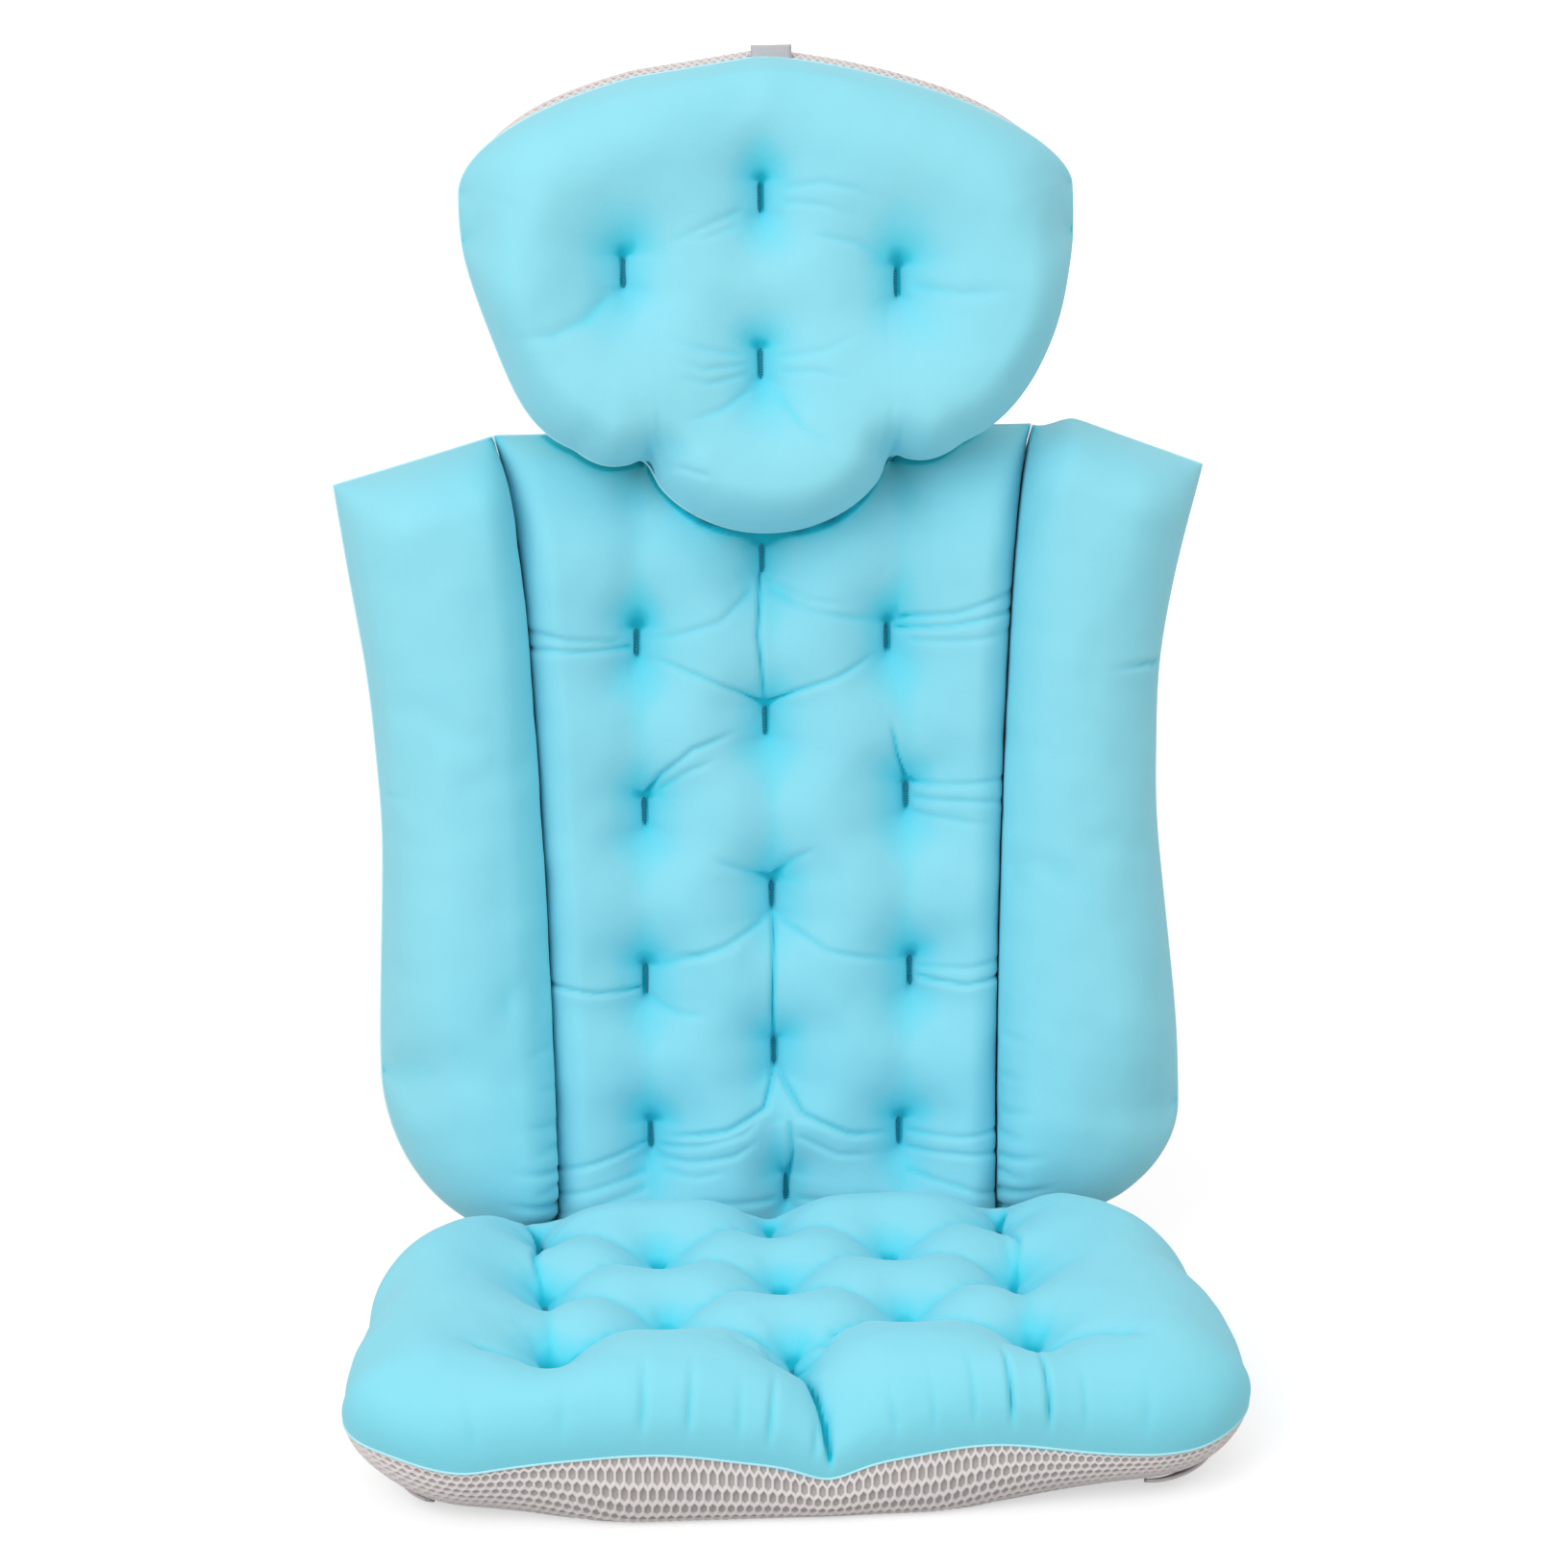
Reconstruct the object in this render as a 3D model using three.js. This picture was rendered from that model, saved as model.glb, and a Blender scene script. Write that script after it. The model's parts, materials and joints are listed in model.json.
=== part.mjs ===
import * as THREE from 'three';

// A stuffed bath pillow: tufted seat, tufted back panel, two wings and a head pillow, each a knit cover
// over fibre filling, closed behind by spacer mesh, and sewn to the next along a flexible seam.
// Millimetres. x to the right, y to the rear, z up, origin at the middle of the seat's flat base.

// Cloth layers
const COVER = 1.5;
const MESH = 3;
const FIT = 0.3;
const STRIP = 2.2;
const TAPE = 1.6;
const RIM_GAP = 0.7;
const INWARD = 16;
const CORNER_SHARE = 0.95;

// Thread bars of the tufts
const BAR_LENGTH = 13;
const BAR_WIDTH = 3.4;
const BAR_RISE = 1.8;
const BAR_ROOM = 0.8;

// Seat
const SEAT_WIDTH = 342;
const SEAT_DEPTH = 176;
const SEAT_SEAM = 24;
const SEAT_CROWN = 42;
const SEAT_CORNER = 46;
const SEAT_REAR_CORNER = 76;
const SEAT_REAR_TAPER = 11;
const SEAT_ROUND = 16;
const SEAT_TUFT_FLOOR = 15;
const SEAT_TUFT_SIDE = 79;
const SEAT_TUFT_REAR = 22;
const SEAT_TUFT_FRONT = 42;
const SEAT_TUFT_SPREAD = 13;
const SEAT_SHOULDER = 28;

// Back panel
const BACK_HEIGHT = 346;
const BACK_TOP = 208;
const BACK_BOTTOM = 184;
const BACK_SEAM = 9;
const BACK_CROWN = 36;
const BACK_ROUND = 12;
const BACK_TUFT_FLOOR = 7;
const BACK_TUFT_COLUMN = 53;
const BACK_TUFT_TOP = 15;
const BACK_TUFT_FOOT = 25;
const BACK_TUFT_ROWS = 10;
const BACK_TUFT_SPREAD = 16;
const BACK_SHOULDER = 32;
const BACK_NECK_TAPER = 110;
const RECLINE = 10;
const FOLD_HEIGHT = 10;

// Wings
const WING_WIDTH = 72;
const WING_WAIST = 14;
const WING_FOOT = 22;
const WING_FOOT_ROUND = 60;
const WING_TOP_SLOPE = 15;
const WING_CROWN = 44;
const WING_PITCH = 6;
const WING_SEAM_RADIUS = 0.9;
const WING_SHOULDER = 26;
const WING_FOOT_SHOULDER = 42;

// Head pillow
const HEAD_WIDTH = 240;
const HEAD_RISE = 147;
const HEAD_ROOF_PITCH = 0.17;
const HEAD_LOBE_DROP = 40;
const HEAD_LOBE_HALF = 48;
const HEAD_NOTCH_DROP = 9;
const HEAD_SEAM = 14;
const HEAD_CROWN = 42;
const HEAD_ROUND = 13;
const HEAD_TUFT_FLOOR = 11;
const HEAD_TUFT_COLUMN = 55;
const HEAD_TUFT_ROW = 33;
const HEAD_TUFT_SPREAD = 15;
const HEAD_SHOULDER = 34;
const HEAD_TILT = 3;
const NECK_STRIP_WIDTH = 120;
const NECK_STRIP_LAP = 28;

// Tape tabs
const TOP_TAB_WIDTH = 16;
const TOP_TAB_RISE = 8;
const CORNER_TAB_LENGTH = 38;
const CORNER_TAB_WIDTH = 9;
const CORNER_TAB_TURN = 32;
const TAB_LIFT = 0.6;

// Values that follow from the sizes above
const RAD = Math.PI / 180;
const lerp = THREE.MathUtils.lerp;
const BAR_HALF = [BAR_WIDTH / 2 + BAR_ROOM, BAR_LENGTH / 2 + BAR_ROOM];
const SEAT_HALF_DEPTH = SEAT_DEPTH / 2;
const FOLD_Y = SEAT_HALF_DEPTH + BACK_CROWN - 4;
const SEAM_LEAN = Math.atan((BACK_TOP - BACK_BOTTOM) / 2 / BACK_HEIGHT);
const WING_RIM = WING_SEAM_RADIUS + 0.4;
const EVEN = 1e-3;
const BACK_TURN = 50;

// Edge profiles: how a cushion fills out from its seam
const ROUND_LEAN = 0.5;
const SOFT_LEAN = 0.75;
const NECK_PROFILE = { shoulder: BACK_NECK_TAPER, lean: 0.8 };

// Finishes
const cloth = (name, color, roughness) =>
  Object.assign(new THREE.MeshStandardMaterial({ color, roughness, metalness: 0 }), { name });
const KNIT = () => cloth('turquoise_knit', 0x86dbee, 0.85);
const SPACER = () => cloth('grey_spacer_mesh', 0xcfc6c6, 0.9);
const FIBRE = () => cloth('white_fibre', 0xf3f3ef, 1);
const WEBBING = () => cloth('grey_tape', 0xc4bcbf, 0.75);
const THREAD = () => cloth('teal_thread', 0x2f9fbb, 0.6);

// Closed surface built from points and triangles. Rings run anticlockwise seen from the front.
class Skin {
  constructor() {
    this.points = [];
    this.faces = [];
  }

  add(p) {
    this.points.push(p);
    return this.points.length - 1;
  }

  ring(points) {
    return points.map((p) => this.add(p));
  }

  // A sheet of rows by columns, facing forward, or backward when turned. folds tells how each cell is split.
  sheet(rows, folds, turned) {
    const ids = rows.map((row) => this.ring(row));
    for (let j = 0; j + 1 < ids.length; j += 1) {
      for (let i = 0; i + 1 < ids[j].length; i += 1) {
        const [a, b, c, d] = [ids[j][i], ids[j][i + 1], ids[j + 1][i + 1], ids[j + 1][i]];
        const pair = folds[j][i] ? [[a, b, c], [a, c, d]] : [[a, b, d], [b, c, d]];
        pair.forEach((f) => this.faces.push(turned ? [...f].reverse() : f));
      }
    }
    return rim(ids);
  }

  // The wall from one ring to the next.
  band(upper, lower) {
    upper.forEach((a, k) => {
      const next = (k + 1) % upper.length;
      this.faces.push([a, lower[k], lower[next]], [a, lower[next], upper[next]]);
    });
  }

  // A flat end on a ring.
  cap(ids, turned) {
    const flat = ids.map((k) => new THREE.Vector2(this.points[k].x, this.points[k].y));
    THREE.ShapeUtils.triangulateShape(flat, []).forEach(([a, b, c]) => {
      this.faces.push(turned ? [ids[c], ids[b], ids[a]] : [ids[a], ids[b], ids[c]]);
    });
  }

  // The finished geometry, mirrored left to right on request.
  geometry(mirrored = false) {
    const sign = mirrored ? -1 : 1;
    const made = new THREE.BufferGeometry();
    const flat = this.points.flatMap((p) => [sign * p.x, p.y, p.z]);
    made.setAttribute('position', new THREE.Float32BufferAttribute(flat, 3));
    made.setIndex(this.faces.flatMap((f) => (mirrored ? [f[2], f[1], f[0]] : f)));
    made.computeVertexNormals();
    return made;
  }
}

// The border of a grid, anticlockwise from the lower left.
function rim(rows) {
  const top = rows.length - 1;
  const side = rows[0].length - 1;
  const south = rows[0].slice(0, side);
  const east = rows.slice(0, top).map((row) => row[side]);
  const north = rows[top].slice(1).reverse();
  const west = rows.slice(1).map((row) => row[0]).reverse();
  return [...south, ...east, ...north, ...west];
}

// How full a cushion is at a distance from its edge: 0 at the seam, 1 past the shoulder.
function fullness(distance, { shoulder, lean }) {
  const share = Math.min(1, Math.max(0, distance / shoulder));
  return (1 - (1 - share) ** 2) ** lean;
}

// Distance from a point to an open line of points.
function distanceTo(line, p) {
  const segment = new THREE.Line3();
  const near = new THREE.Vector3();
  let least = Infinity;
  for (let k = 0; k + 1 < line.length; k += 1) {
    segment.set(line[k], line[k + 1]);
    segment.closestPointToPoint(p, true, near);
    least = Math.min(least, near.distanceTo(p));
  }
  return least;
}

// Even grid lines from -1 to 1.
function evenLines(count) {
  return Array.from({ length: count + 1 }, (_, k) => (2 * k) / count - 1);
}

// Evenly stepped values from the first to the last.
function evenSteps(count, first, last) {
  return Array.from({ length: count }, (_, k) => lerp(first, last, k / (count - 1)));
}

// Grid lines from -1 to 1 that close up towards both ends.
function closingLines(count) {
  return evenLines(count).map((line) => Math.sin((line * Math.PI) / 2));
}

// Grid lines either side of each mark, with more between the marks and out to both ends.
function linesAround(marks, half, between, ends, outward) {
  const lines = marks.flatMap((mark) => [mark - half, mark + half]);
  for (let k = 0; k + 1 < marks.length; k += 1) {
    for (let n = 1; n <= between; n += 1) {
      lines.push(lerp(marks[k] + half, marks[k + 1] - half, n / (between + 1)));
    }
  }
  const starts = [marks[0] - half, marks[marks.length - 1] + half];
  starts.forEach((start, side) => {
    for (let n = 1; n <= outward[side]; n += 1) {
      lines.push(lerp(start, ends[side], Math.sin((n / outward[side]) * (Math.PI / 2))));
    }
  });
  return lines.sort((a, b) => a - b);
}

// One stitched cushion. plan maps the crossings of its grid lines onto the outline at the seam.
class Cushion {
  constructor(spec) {
    Object.assign(this, { tufts: [], tuftFloor: 0, tuftSpread: 1 }, spec);
    this.flat = this.rows.map((t) => this.columns.map((s) => this.at(s, t)));
    const last = this.flat.length - 1;
    const end = this.flat[0].length - 1;
    this.edges = [
      [this.flat[0], this.sides.south],
      [this.flat[last], this.sides.north],
      [this.flat.map((row) => row[0]), this.sides.west],
      [this.flat.map((row) => row[end]), this.sides.east],
    ].map(([line, profile]) => [line.map((p) => p.clone()), profile]);
    this.tufts.forEach((tuft) => this.snap(tuft));
    this.outer = this.flat.map((row) => row.map((p) => this.raised(p)));
    this.normals = this.outer.map((row, j) => row.map((_, i) => this.normal(i, j)));
    this.folds = this.outer.slice(1).map((row, j) => row.slice(1).map((_, i) => this.fold(i, j)));
  }

  at(s, t) {
    const [u, v] = this.plan(s, t);
    return new THREE.Vector3(u, v, 0);
  }

  // Move the cell nearest to a tuft under its thread bar, so that the bar has a flat floor.
  snap([u, v]) {
    let best = [Infinity, 0, 0];
    for (let j = 1; j + 2 < this.flat.length; j += 1) {
      for (let i = 1; i + 2 < this.flat[j].length; i += 1) {
        const middle = this.flat[j][i].clone().add(this.flat[j + 1][i + 1]).divideScalar(2);
        const gap = Math.hypot(middle.x - u, middle.y - v);
        if (gap < best[0]) best = [gap, i, j];
      }
    }
    const [, i, j] = best;
    this.flat[j][i].set(u - BAR_HALF[0], v - BAR_HALF[1], 0);
    this.flat[j][i + 1].set(u + BAR_HALF[0], v - BAR_HALF[1], 0);
    this.flat[j + 1][i + 1].set(u + BAR_HALF[0], v + BAR_HALF[1], 0);
    this.flat[j + 1][i].set(u - BAR_HALF[0], v + BAR_HALF[1], 0);
  }

  // Height of the crown above the seam, drawn in at the edges and down at the tufts.
  height(p) {
    const share = ([line, profile]) => fullness(distanceTo(line, p), profile);
    const full = this.edges.reduce((h, edge) => h * share(edge), this.crown);
    const pull = this.tufts.reduce((most, [u, v]) => {
      const across = Math.max(0, Math.abs(p.x - u) - BAR_HALF[0]);
      const along = Math.max(0, Math.abs(p.y - v) - BAR_HALF[1]);
      return Math.max(most, Math.exp(-(across ** 2 + along ** 2) / this.tuftSpread ** 2));
    }, 0);
    return full * (1 - pull) + Math.min(full, this.tuftFloor) * pull;
  }

  raised(p) {
    return new THREE.Vector3(p.x, p.y, this.base + this.seam + FIT / 2 + this.height(p));
  }

  // Whether a cell is split from its lower left: along its shorter diagonal, and out of each corner.
  fold(i, j) {
    const west = i === 0;
    const south = j === 0;
    const east = i === this.flat[0].length - 2;
    const north = j === this.flat.length - 2;
    if ((west || east) && (south || north)) return west === south;
    const [a, b] = [this.outer[j][i], this.outer[j][i + 1]];
    const [d, c] = [this.outer[j + 1][i], this.outer[j + 1][i + 1]];
    const even = a.x + b.x < 0 ? EVEN : -EVEN;
    return a.distanceTo(c) < b.distanceTo(d) + even;
  }

  // The way out of the cushion: square to the cloth at the border, straight forward further in.
  normal(i, j) {
    const cell = (a, b) => {
      const row = this.outer[Math.min(Math.max(b, 0), this.outer.length - 1)];
      return row[Math.min(Math.max(a, 0), row.length - 1)];
    };
    const du = cell(i + 1, j).clone().sub(cell(i - 1, j));
    const dv = cell(i, j + 1).clone().sub(cell(i, j - 1));
    const front = new THREE.Vector3(0, 0, 1);
    const edge = Math.min(...this.edges.map(([line]) => distanceTo(line, this.flat[j][i])));
    return du.cross(dv).normalize().lerp(front, Math.min(1, edge / INWARD));
  }

  // The border drawn in by a distance, at a height above the seam.
  border(inset, height) {
    const drawn = (value, axis) => {
      const share = 1 - inset / this.half[axis];
      return this.centre[axis] + (value - this.centre[axis]) * share;
    };
    const level = this.base + this.seam + height;
    return rim(this.flat).map((p) => new THREE.Vector3(drawn(p.x, 0), drawn(p.y, 1), level));
  }

  // The front surface moved inward by a distance, with its border drawn in on its own.
  inner(depth, borderInset) {
    const border = this.border(borderInset, FIT / 2);
    const order = rim(this.outer.map((row, j) => row.map((_, i) => `${i},${j}`)));
    const drawn = new Map(order.map((key, k) => [key, border[k]]));
    return this.outer.map((row, j) => row.map((p, i) => {
      const onBorder = drawn.get(`${i},${j}`);
      return onBorder ?? p.clone().addScaledVector(this.normals[j][i], -depth);
    }));
  }

  // Rings of the rounded back, from the seam to the flat, drawn in by a wall thickness.
  backRings(wall, round = this.round) {
    return [0, BACK_TURN, 90].map((angle) => {
      const inset = wall + (round - wall) * (1 - Math.cos(angle * RAD));
      const drop = (this.seam - wall) * Math.sin(angle * RAD);
      return this.border(inset, -FIT / 2 - drop * (1 - FIT / 2 / this.seam));
    });
  }

  cover() {
    const skin = new Skin();
    const front = skin.sheet(this.outer, this.folds, false);
    const behind = skin.sheet(this.inner(COVER, COVER), this.folds, true);
    skin.band(front, behind);
    return skin;
  }

  filling() {
    const wall = MESH + 2 * FIT;
    const skin = new Skin();
    let above = skin.sheet(this.inner(COVER + 2 * FIT, wall), this.folds, false);
    this.backRings(wall).forEach((points) => {
      const below = skin.ring(points);
      skin.band(above, below);
      above = below;
    });
    skin.cap(above, true);
    return skin;
  }

  backing() {
    const skin = new Skin();
    const levels = [...this.backRings(MESH).reverse(), ...this.backRings(0)];
    const rings = levels.map((points) => skin.ring(points));
    skin.cap(rings[0], false);
    rings.slice(1).forEach((below, k) => skin.band(rings[k], below));
    skin.cap(rings[rings.length - 1], true);
    return skin;
  }
}

// A thread bar lying along v on the floor of its tuft.
function threadBar(cushion, [u, v]) {
  const radius = BAR_WIDTH / 2;
  const reach = BAR_LENGTH / 2 - radius;
  const outline = new THREE.Shape();
  outline.absarc(0, reach, radius, 0, Math.PI, false);
  outline.absarc(0, -reach, radius, Math.PI, 2 * Math.PI, false);
  const straight = { depth: BAR_RISE, bevelEnabled: false, curveSegments: 2 };
  const bar = new THREE.ExtrudeGeometry(outline, straight);
  const floor = cushion.base + cushion.seam + FIT / 2 + cushion.height(new THREE.Vector3(u, v, 0));
  return bar.translate(u, v, floor + FIT);
}

// A strip with an outline given in y and z, of a width along x.
function crossStrip(outline, width) {
  const shape = new THREE.Shape(outline.map(([y, z]) => new THREE.Vector2(y, z)));
  const strip = new THREE.ExtrudeGeometry(shape, { depth: width, bevelEnabled: false });
  const [x, y, z] = [new THREE.Vector3(1, 0, 0), new THREE.Vector3(0, 1, 0), new THREE.Vector3(0, 0, 1)];
  strip.translate(0, 0, -width / 2);
  return strip.applyMatrix4(new THREE.Matrix4().makeBasis(y, z, x));
}

function tape(width, depth, thickness) {
  return new THREE.BoxGeometry(width, depth, thickness);
}

function named(name, geometry, material) {
  const mesh = new THREE.Mesh(geometry, material);
  mesh.name = name;
  return mesh;
}

// Cover, filling and backing of one cushion, with its tufts numbered in order.
function layers(prefix, words, cushion, mirrored = false) {
  const group = new THREE.Group();
  group.add(named(`${prefix}_${words.cover}`, cushion.cover().geometry(mirrored), KNIT()));
  group.add(named(`${prefix}_filling`, cushion.filling().geometry(mirrored), FIBRE()));
  group.add(named(`${prefix}_${words.backing}`, cushion.backing().geometry(mirrored), SPACER()));
  cushion.tufts.forEach((tuft, k) => {
    const number = String(k + 1).padStart(2, '0');
    group.add(named(`${prefix}_tuft_${number}`, threadBar(cushion, tuft), THREAD()));
  });
  return group;
}

// Tufts in staggered rows: two sets of columns take turns from row to row.
function staggered(rows, first, second) {
  return rows.flatMap((v, k) => (k % 2 === 0 ? first : second).map((u) => [u, v]));
}

// How far a quarter-round corner has drawn back at a share of the way across it.
const cornerDrop = (share) => 1 - Math.sqrt(1 - THREE.MathUtils.clamp(share, 0, 1) ** 2);

function seatCushion() {
  const half = [SEAT_WIDTH / 2, SEAT_HALF_DEPTH];
  const plan = (u, v) => {
    const round = v < 0 ? SEAT_CORNER : SEAT_REAR_CORNER;
    const corner = cornerDrop((Math.abs(u) - (half[0] - round)) / round);
    const reach = half[1] - round * CORNER_SHARE * corner;
    const along = (v * reach) / half[1];
    const back = Math.max(0, along + half[1] - SEAT_CORNER) / (SEAT_DEPTH - SEAT_CORNER);
    return [u - Math.sign(u) * SEAT_REAR_TAPER * back * (u / half[0]) ** 2, along];
  };
  const columns = evenLines(4).map((line) => line * (half[0] - SEAT_TUFT_SIDE));
  const rows = evenSteps(5, half[1] - SEAT_TUFT_REAR, SEAT_TUFT_FRONT - half[1]);
  const outer = columns.filter((_, k) => k % 2 === 0);
  const inner = columns.filter((_, k) => k % 2 === 1);
  return new Cushion({
    plan,
    half,
    centre: [0, 0],
    columns: linesAround(columns, BAR_HALF[0], 1, [-half[0], half[0]], [6, 6]),
    rows: linesAround([...rows].reverse(), BAR_HALF[1], 0, [-half[1], half[1]], [3, 2]),
    base: 0,
    seam: SEAT_SEAM,
    crown: SEAT_CROWN,
    round: SEAT_ROUND,
    sides: {
      south: { shoulder: SEAT_SHOULDER, lean: ROUND_LEAN },
      north: { shoulder: SEAT_SHOULDER, lean: ROUND_LEAN },
      west: { shoulder: SEAT_SHOULDER, lean: ROUND_LEAN },
      east: { shoulder: SEAT_SHOULDER, lean: ROUND_LEAN },
    },
    tufts: staggered(rows, outer, inner),
    tuftFloor: SEAT_TUFT_FLOOR,
    tuftSpread: SEAT_TUFT_SPREAD,
  });
}

function backCushion() {
  const widest = BACK_TOP / 2;
  const fixed = BACK_TUFT_COLUMN + BAR_HALF[0];
  const plan = (u, v) => {
    const edge = lerp(BACK_BOTTOM, BACK_TOP, v / BACK_HEIGHT) / 2 - WING_RIM;
    const past = Math.max(0, Math.abs(u) - fixed) / (widest - fixed);
    return [past > 0 ? Math.sign(u) * lerp(fixed, edge, past) : u, v];
  };
  const columns = [-1, 0, 1].map((k) => k * BACK_TUFT_COLUMN);
  const rows = evenSteps(BACK_TUFT_ROWS, BACK_HEIGHT - BACK_TUFT_TOP, BACK_TUFT_FOOT);
  return new Cushion({
    plan,
    half: [(BACK_TOP + BACK_BOTTOM) / 4, BACK_HEIGHT / 2],
    centre: [0, BACK_HEIGHT / 2],
    columns: linesAround(columns, BAR_HALF[0], 2, [-widest, widest], [4, 4]),
    rows: linesAround([...rows].reverse(), BAR_HALF[1], 0, [RIM_GAP, BACK_HEIGHT - RIM_GAP], [3, 1]),
    base: -BACK_SEAM,
    seam: BACK_SEAM,
    crown: BACK_CROWN,
    round: BACK_ROUND,
    sides: {
      south: { shoulder: BACK_SHOULDER, lean: ROUND_LEAN },
      north: NECK_PROFILE,
      west: { shoulder: BACK_SHOULDER, lean: SOFT_LEAN },
      east: { shoulder: BACK_SHOULDER, lean: SOFT_LEAN },
    },
    tufts: staggered(rows, [columns[0], columns[2]], [columns[1]]),
    tuftFloor: BACK_TUFT_FLOOR,
    tuftSpread: BACK_TUFT_SPREAD,
  });
}

// The right wing, with x outward from its seam and y along the seam.
function wingCushion() {
  const plan = (s, t) => {
    const out = (s + 1) / 2;
    const up = (t + 1) / 2;
    const waist = WING_WAIST * Math.sin(Math.PI * up) ** 2;
    const foot = WING_FOOT_ROUND * CORNER_SHARE * cornerDrop(out);
    const low = WING_FOOT + foot;
    const high = BACK_HEIGHT - RIM_GAP - WING_TOP_SLOPE * out;
    const u = lerp(WING_RIM, WING_WIDTH - waist, out);
    return [u, lerp(low, high, up)];
  };
  return new Cushion({
    plan,
    half: [WING_WIDTH / 2, (BACK_HEIGHT - WING_FOOT) / 2],
    centre: [(WING_RIM + WING_WIDTH) / 2, (BACK_HEIGHT + WING_FOOT) / 2],
    columns: closingLines(8),
    rows: closingLines(18),
    base: -BACK_SEAM,
    seam: BACK_SEAM,
    crown: WING_CROWN,
    round: BACK_ROUND,
    sides: {
      south: { shoulder: WING_FOOT_SHOULDER, lean: ROUND_LEAN },
      north: { shoulder: WING_SHOULDER, lean: ROUND_LEAN },
      west: { shoulder: WING_SHOULDER, lean: SOFT_LEAN },
      east: { shoulder: WING_SHOULDER, lean: ROUND_LEAN },
    },
  });
}

// How far the head stands forward of the panel's seam, so that its scallops lie on the panel.
function headStand() {
  const overlap = HEAD_LOBE_DROP - HEAD_ROUND;
  const under = BACK_CROWN * fullness(overlap, NECK_PROFILE);
  return under + overlap * Math.tan(HEAD_TILT * RAD) - 2;
}

// The head pillow, with y up from the neck seam.
function headCushion() {
  const half = HEAD_WIDTH / 2;
  const middle = HEAD_RISE * 0.59;
  const sideHeight = 9;
  const top = (u) => {
    const dome = (1 - Math.abs(u / half) ** 2.2) ** 0.78;
    const arch = middle + sideHeight + (HEAD_RISE - middle - sideHeight) * dome;
    return Math.min(arch, HEAD_RISE - HEAD_ROOF_PITCH * Math.abs(u));
  };
  const bottom = (u) => {
    const a = Math.abs(u);
    if (a < HEAD_LOBE_HALF) {
      const lobe = Math.sqrt(1 - (a / HEAD_LOBE_HALF) ** 2) ** 1.2;
      return -HEAD_NOTCH_DROP - (HEAD_LOBE_DROP - HEAD_NOTCH_DROP) * lobe;
    }
    const across = (a - HEAD_LOBE_HALF) / (half - HEAD_LOBE_HALF);
    const scallop = -0.4 * HEAD_NOTCH_DROP * Math.sin(Math.PI * Math.min(1, across * 2.4));
    const climb = 1 - (1 - across ** 3) ** 0.6;
    return -HEAD_NOTCH_DROP + scallop + (middle - sideHeight + HEAD_NOTCH_DROP) * climb;
  };
  const plan = (u, t) => [u, lerp(bottom(u), top(u), (t + 1) / 2)];
  const round = { shoulder: HEAD_SHOULDER, lean: ROUND_LEAN };
  const centre = middle - 26;
  const lines = linesAround([-HEAD_TUFT_COLUMN, 0, HEAD_TUFT_COLUMN], BAR_HALF[0], 2, [-half, half], [6, 6]);
  return new Cushion({
    plan,
    half: [half, (HEAD_RISE + HEAD_LOBE_DROP) / 2],
    centre: [0, (HEAD_RISE - HEAD_LOBE_DROP) / 2],
    columns: [...lines, -HEAD_LOBE_HALF, HEAD_LOBE_HALF].sort((a, b) => a - b),
    rows: evenLines(14),
    base: headStand(),
    seam: HEAD_SEAM,
    crown: HEAD_CROWN,
    round: HEAD_ROUND,
    sides: { south: round, north: round, west: round, east: round },
    tufts: [
      [0, centre + HEAD_TUFT_ROW],
      [-HEAD_TUFT_COLUMN, centre],
      [HEAD_TUFT_COLUMN, centre],
      [0, centre - HEAD_TUFT_ROW],
    ],
    tuftFloor: HEAD_TUFT_FLOOR,
    tuftSpread: HEAD_TUFT_SPREAD,
  });
}

// How far the lowest facet of the seat's mesh is drawn in, at a height above the floor.
function seatInset(height) {
  const low = SEAT_SEAM * (1 - Math.sin(BACK_TURN * RAD));
  const mid = SEAT_ROUND * (1 - Math.cos(BACK_TURN * RAD));
  return SEAT_ROUND - ((SEAT_ROUND - mid) * height) / low;
}

// The mesh between seat and panel: flat on the floor, then up to the seam of the fold.
function foldStrip() {
  const start = SEAT_HALF_DEPTH - seatInset(STRIP + FIT);
  const end = FOLD_Y - FIT;
  const top = FOLD_HEIGHT + RIM_GAP - 2 * FIT;
  const outline = [
    [start, 0],
    [end, 0],
    [end, top],
    [end - STRIP, top],
    [end - STRIP, STRIP],
    [start, STRIP],
  ];
  return crossStrip(outline, BACK_BOTTOM - 2 * BACK_ROUND);
}

// The mesh between panel and head: up and forward from the neck seam, then flat behind the head.
function neckStrip() {
  const front = headStand() - FIT;
  const bend = front * 2;
  const outline = [
    [0, -STRIP / 4],
    [bend + STRIP / 2, front - STRIP],
    [bend + NECK_STRIP_LAP, front - STRIP],
    [bend + NECK_STRIP_LAP, front],
    [bend, front],
    [0, STRIP / 4],
  ];
  return crossStrip(outline, NECK_STRIP_WIDTH);
}

// A tape under a front corner of the seat, with its inner edge against the mesh.
function seatTab(side) {
  const angle = CORNER_TAB_TURN * RAD;
  const half = [SEAT_WIDTH / 2, SEAT_HALF_DEPTH];
  const inset = seatInset(TAB_LIFT + TAPE + FIT);
  const across = half[0] - SEAT_CORNER + SEAT_CORNER * Math.sin(angle);
  const along = half[1] - SEAT_CORNER * CORNER_SHARE * cornerDrop(Math.sin(angle));
  const out = FIT + CORNER_TAB_WIDTH / 2;
  const x = across * (1 - inset / half[0]) + out * Math.sin(angle);
  const y = along * (1 - inset / half[1]) + out * Math.cos(angle);
  const strip = tape(CORNER_TAB_LENGTH, CORNER_TAB_WIDTH, TAPE);
  strip.rotateZ(side * angle);
  return strip.translate(side * x, -y, TAB_LIFT + TAPE / 2);
}

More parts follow.
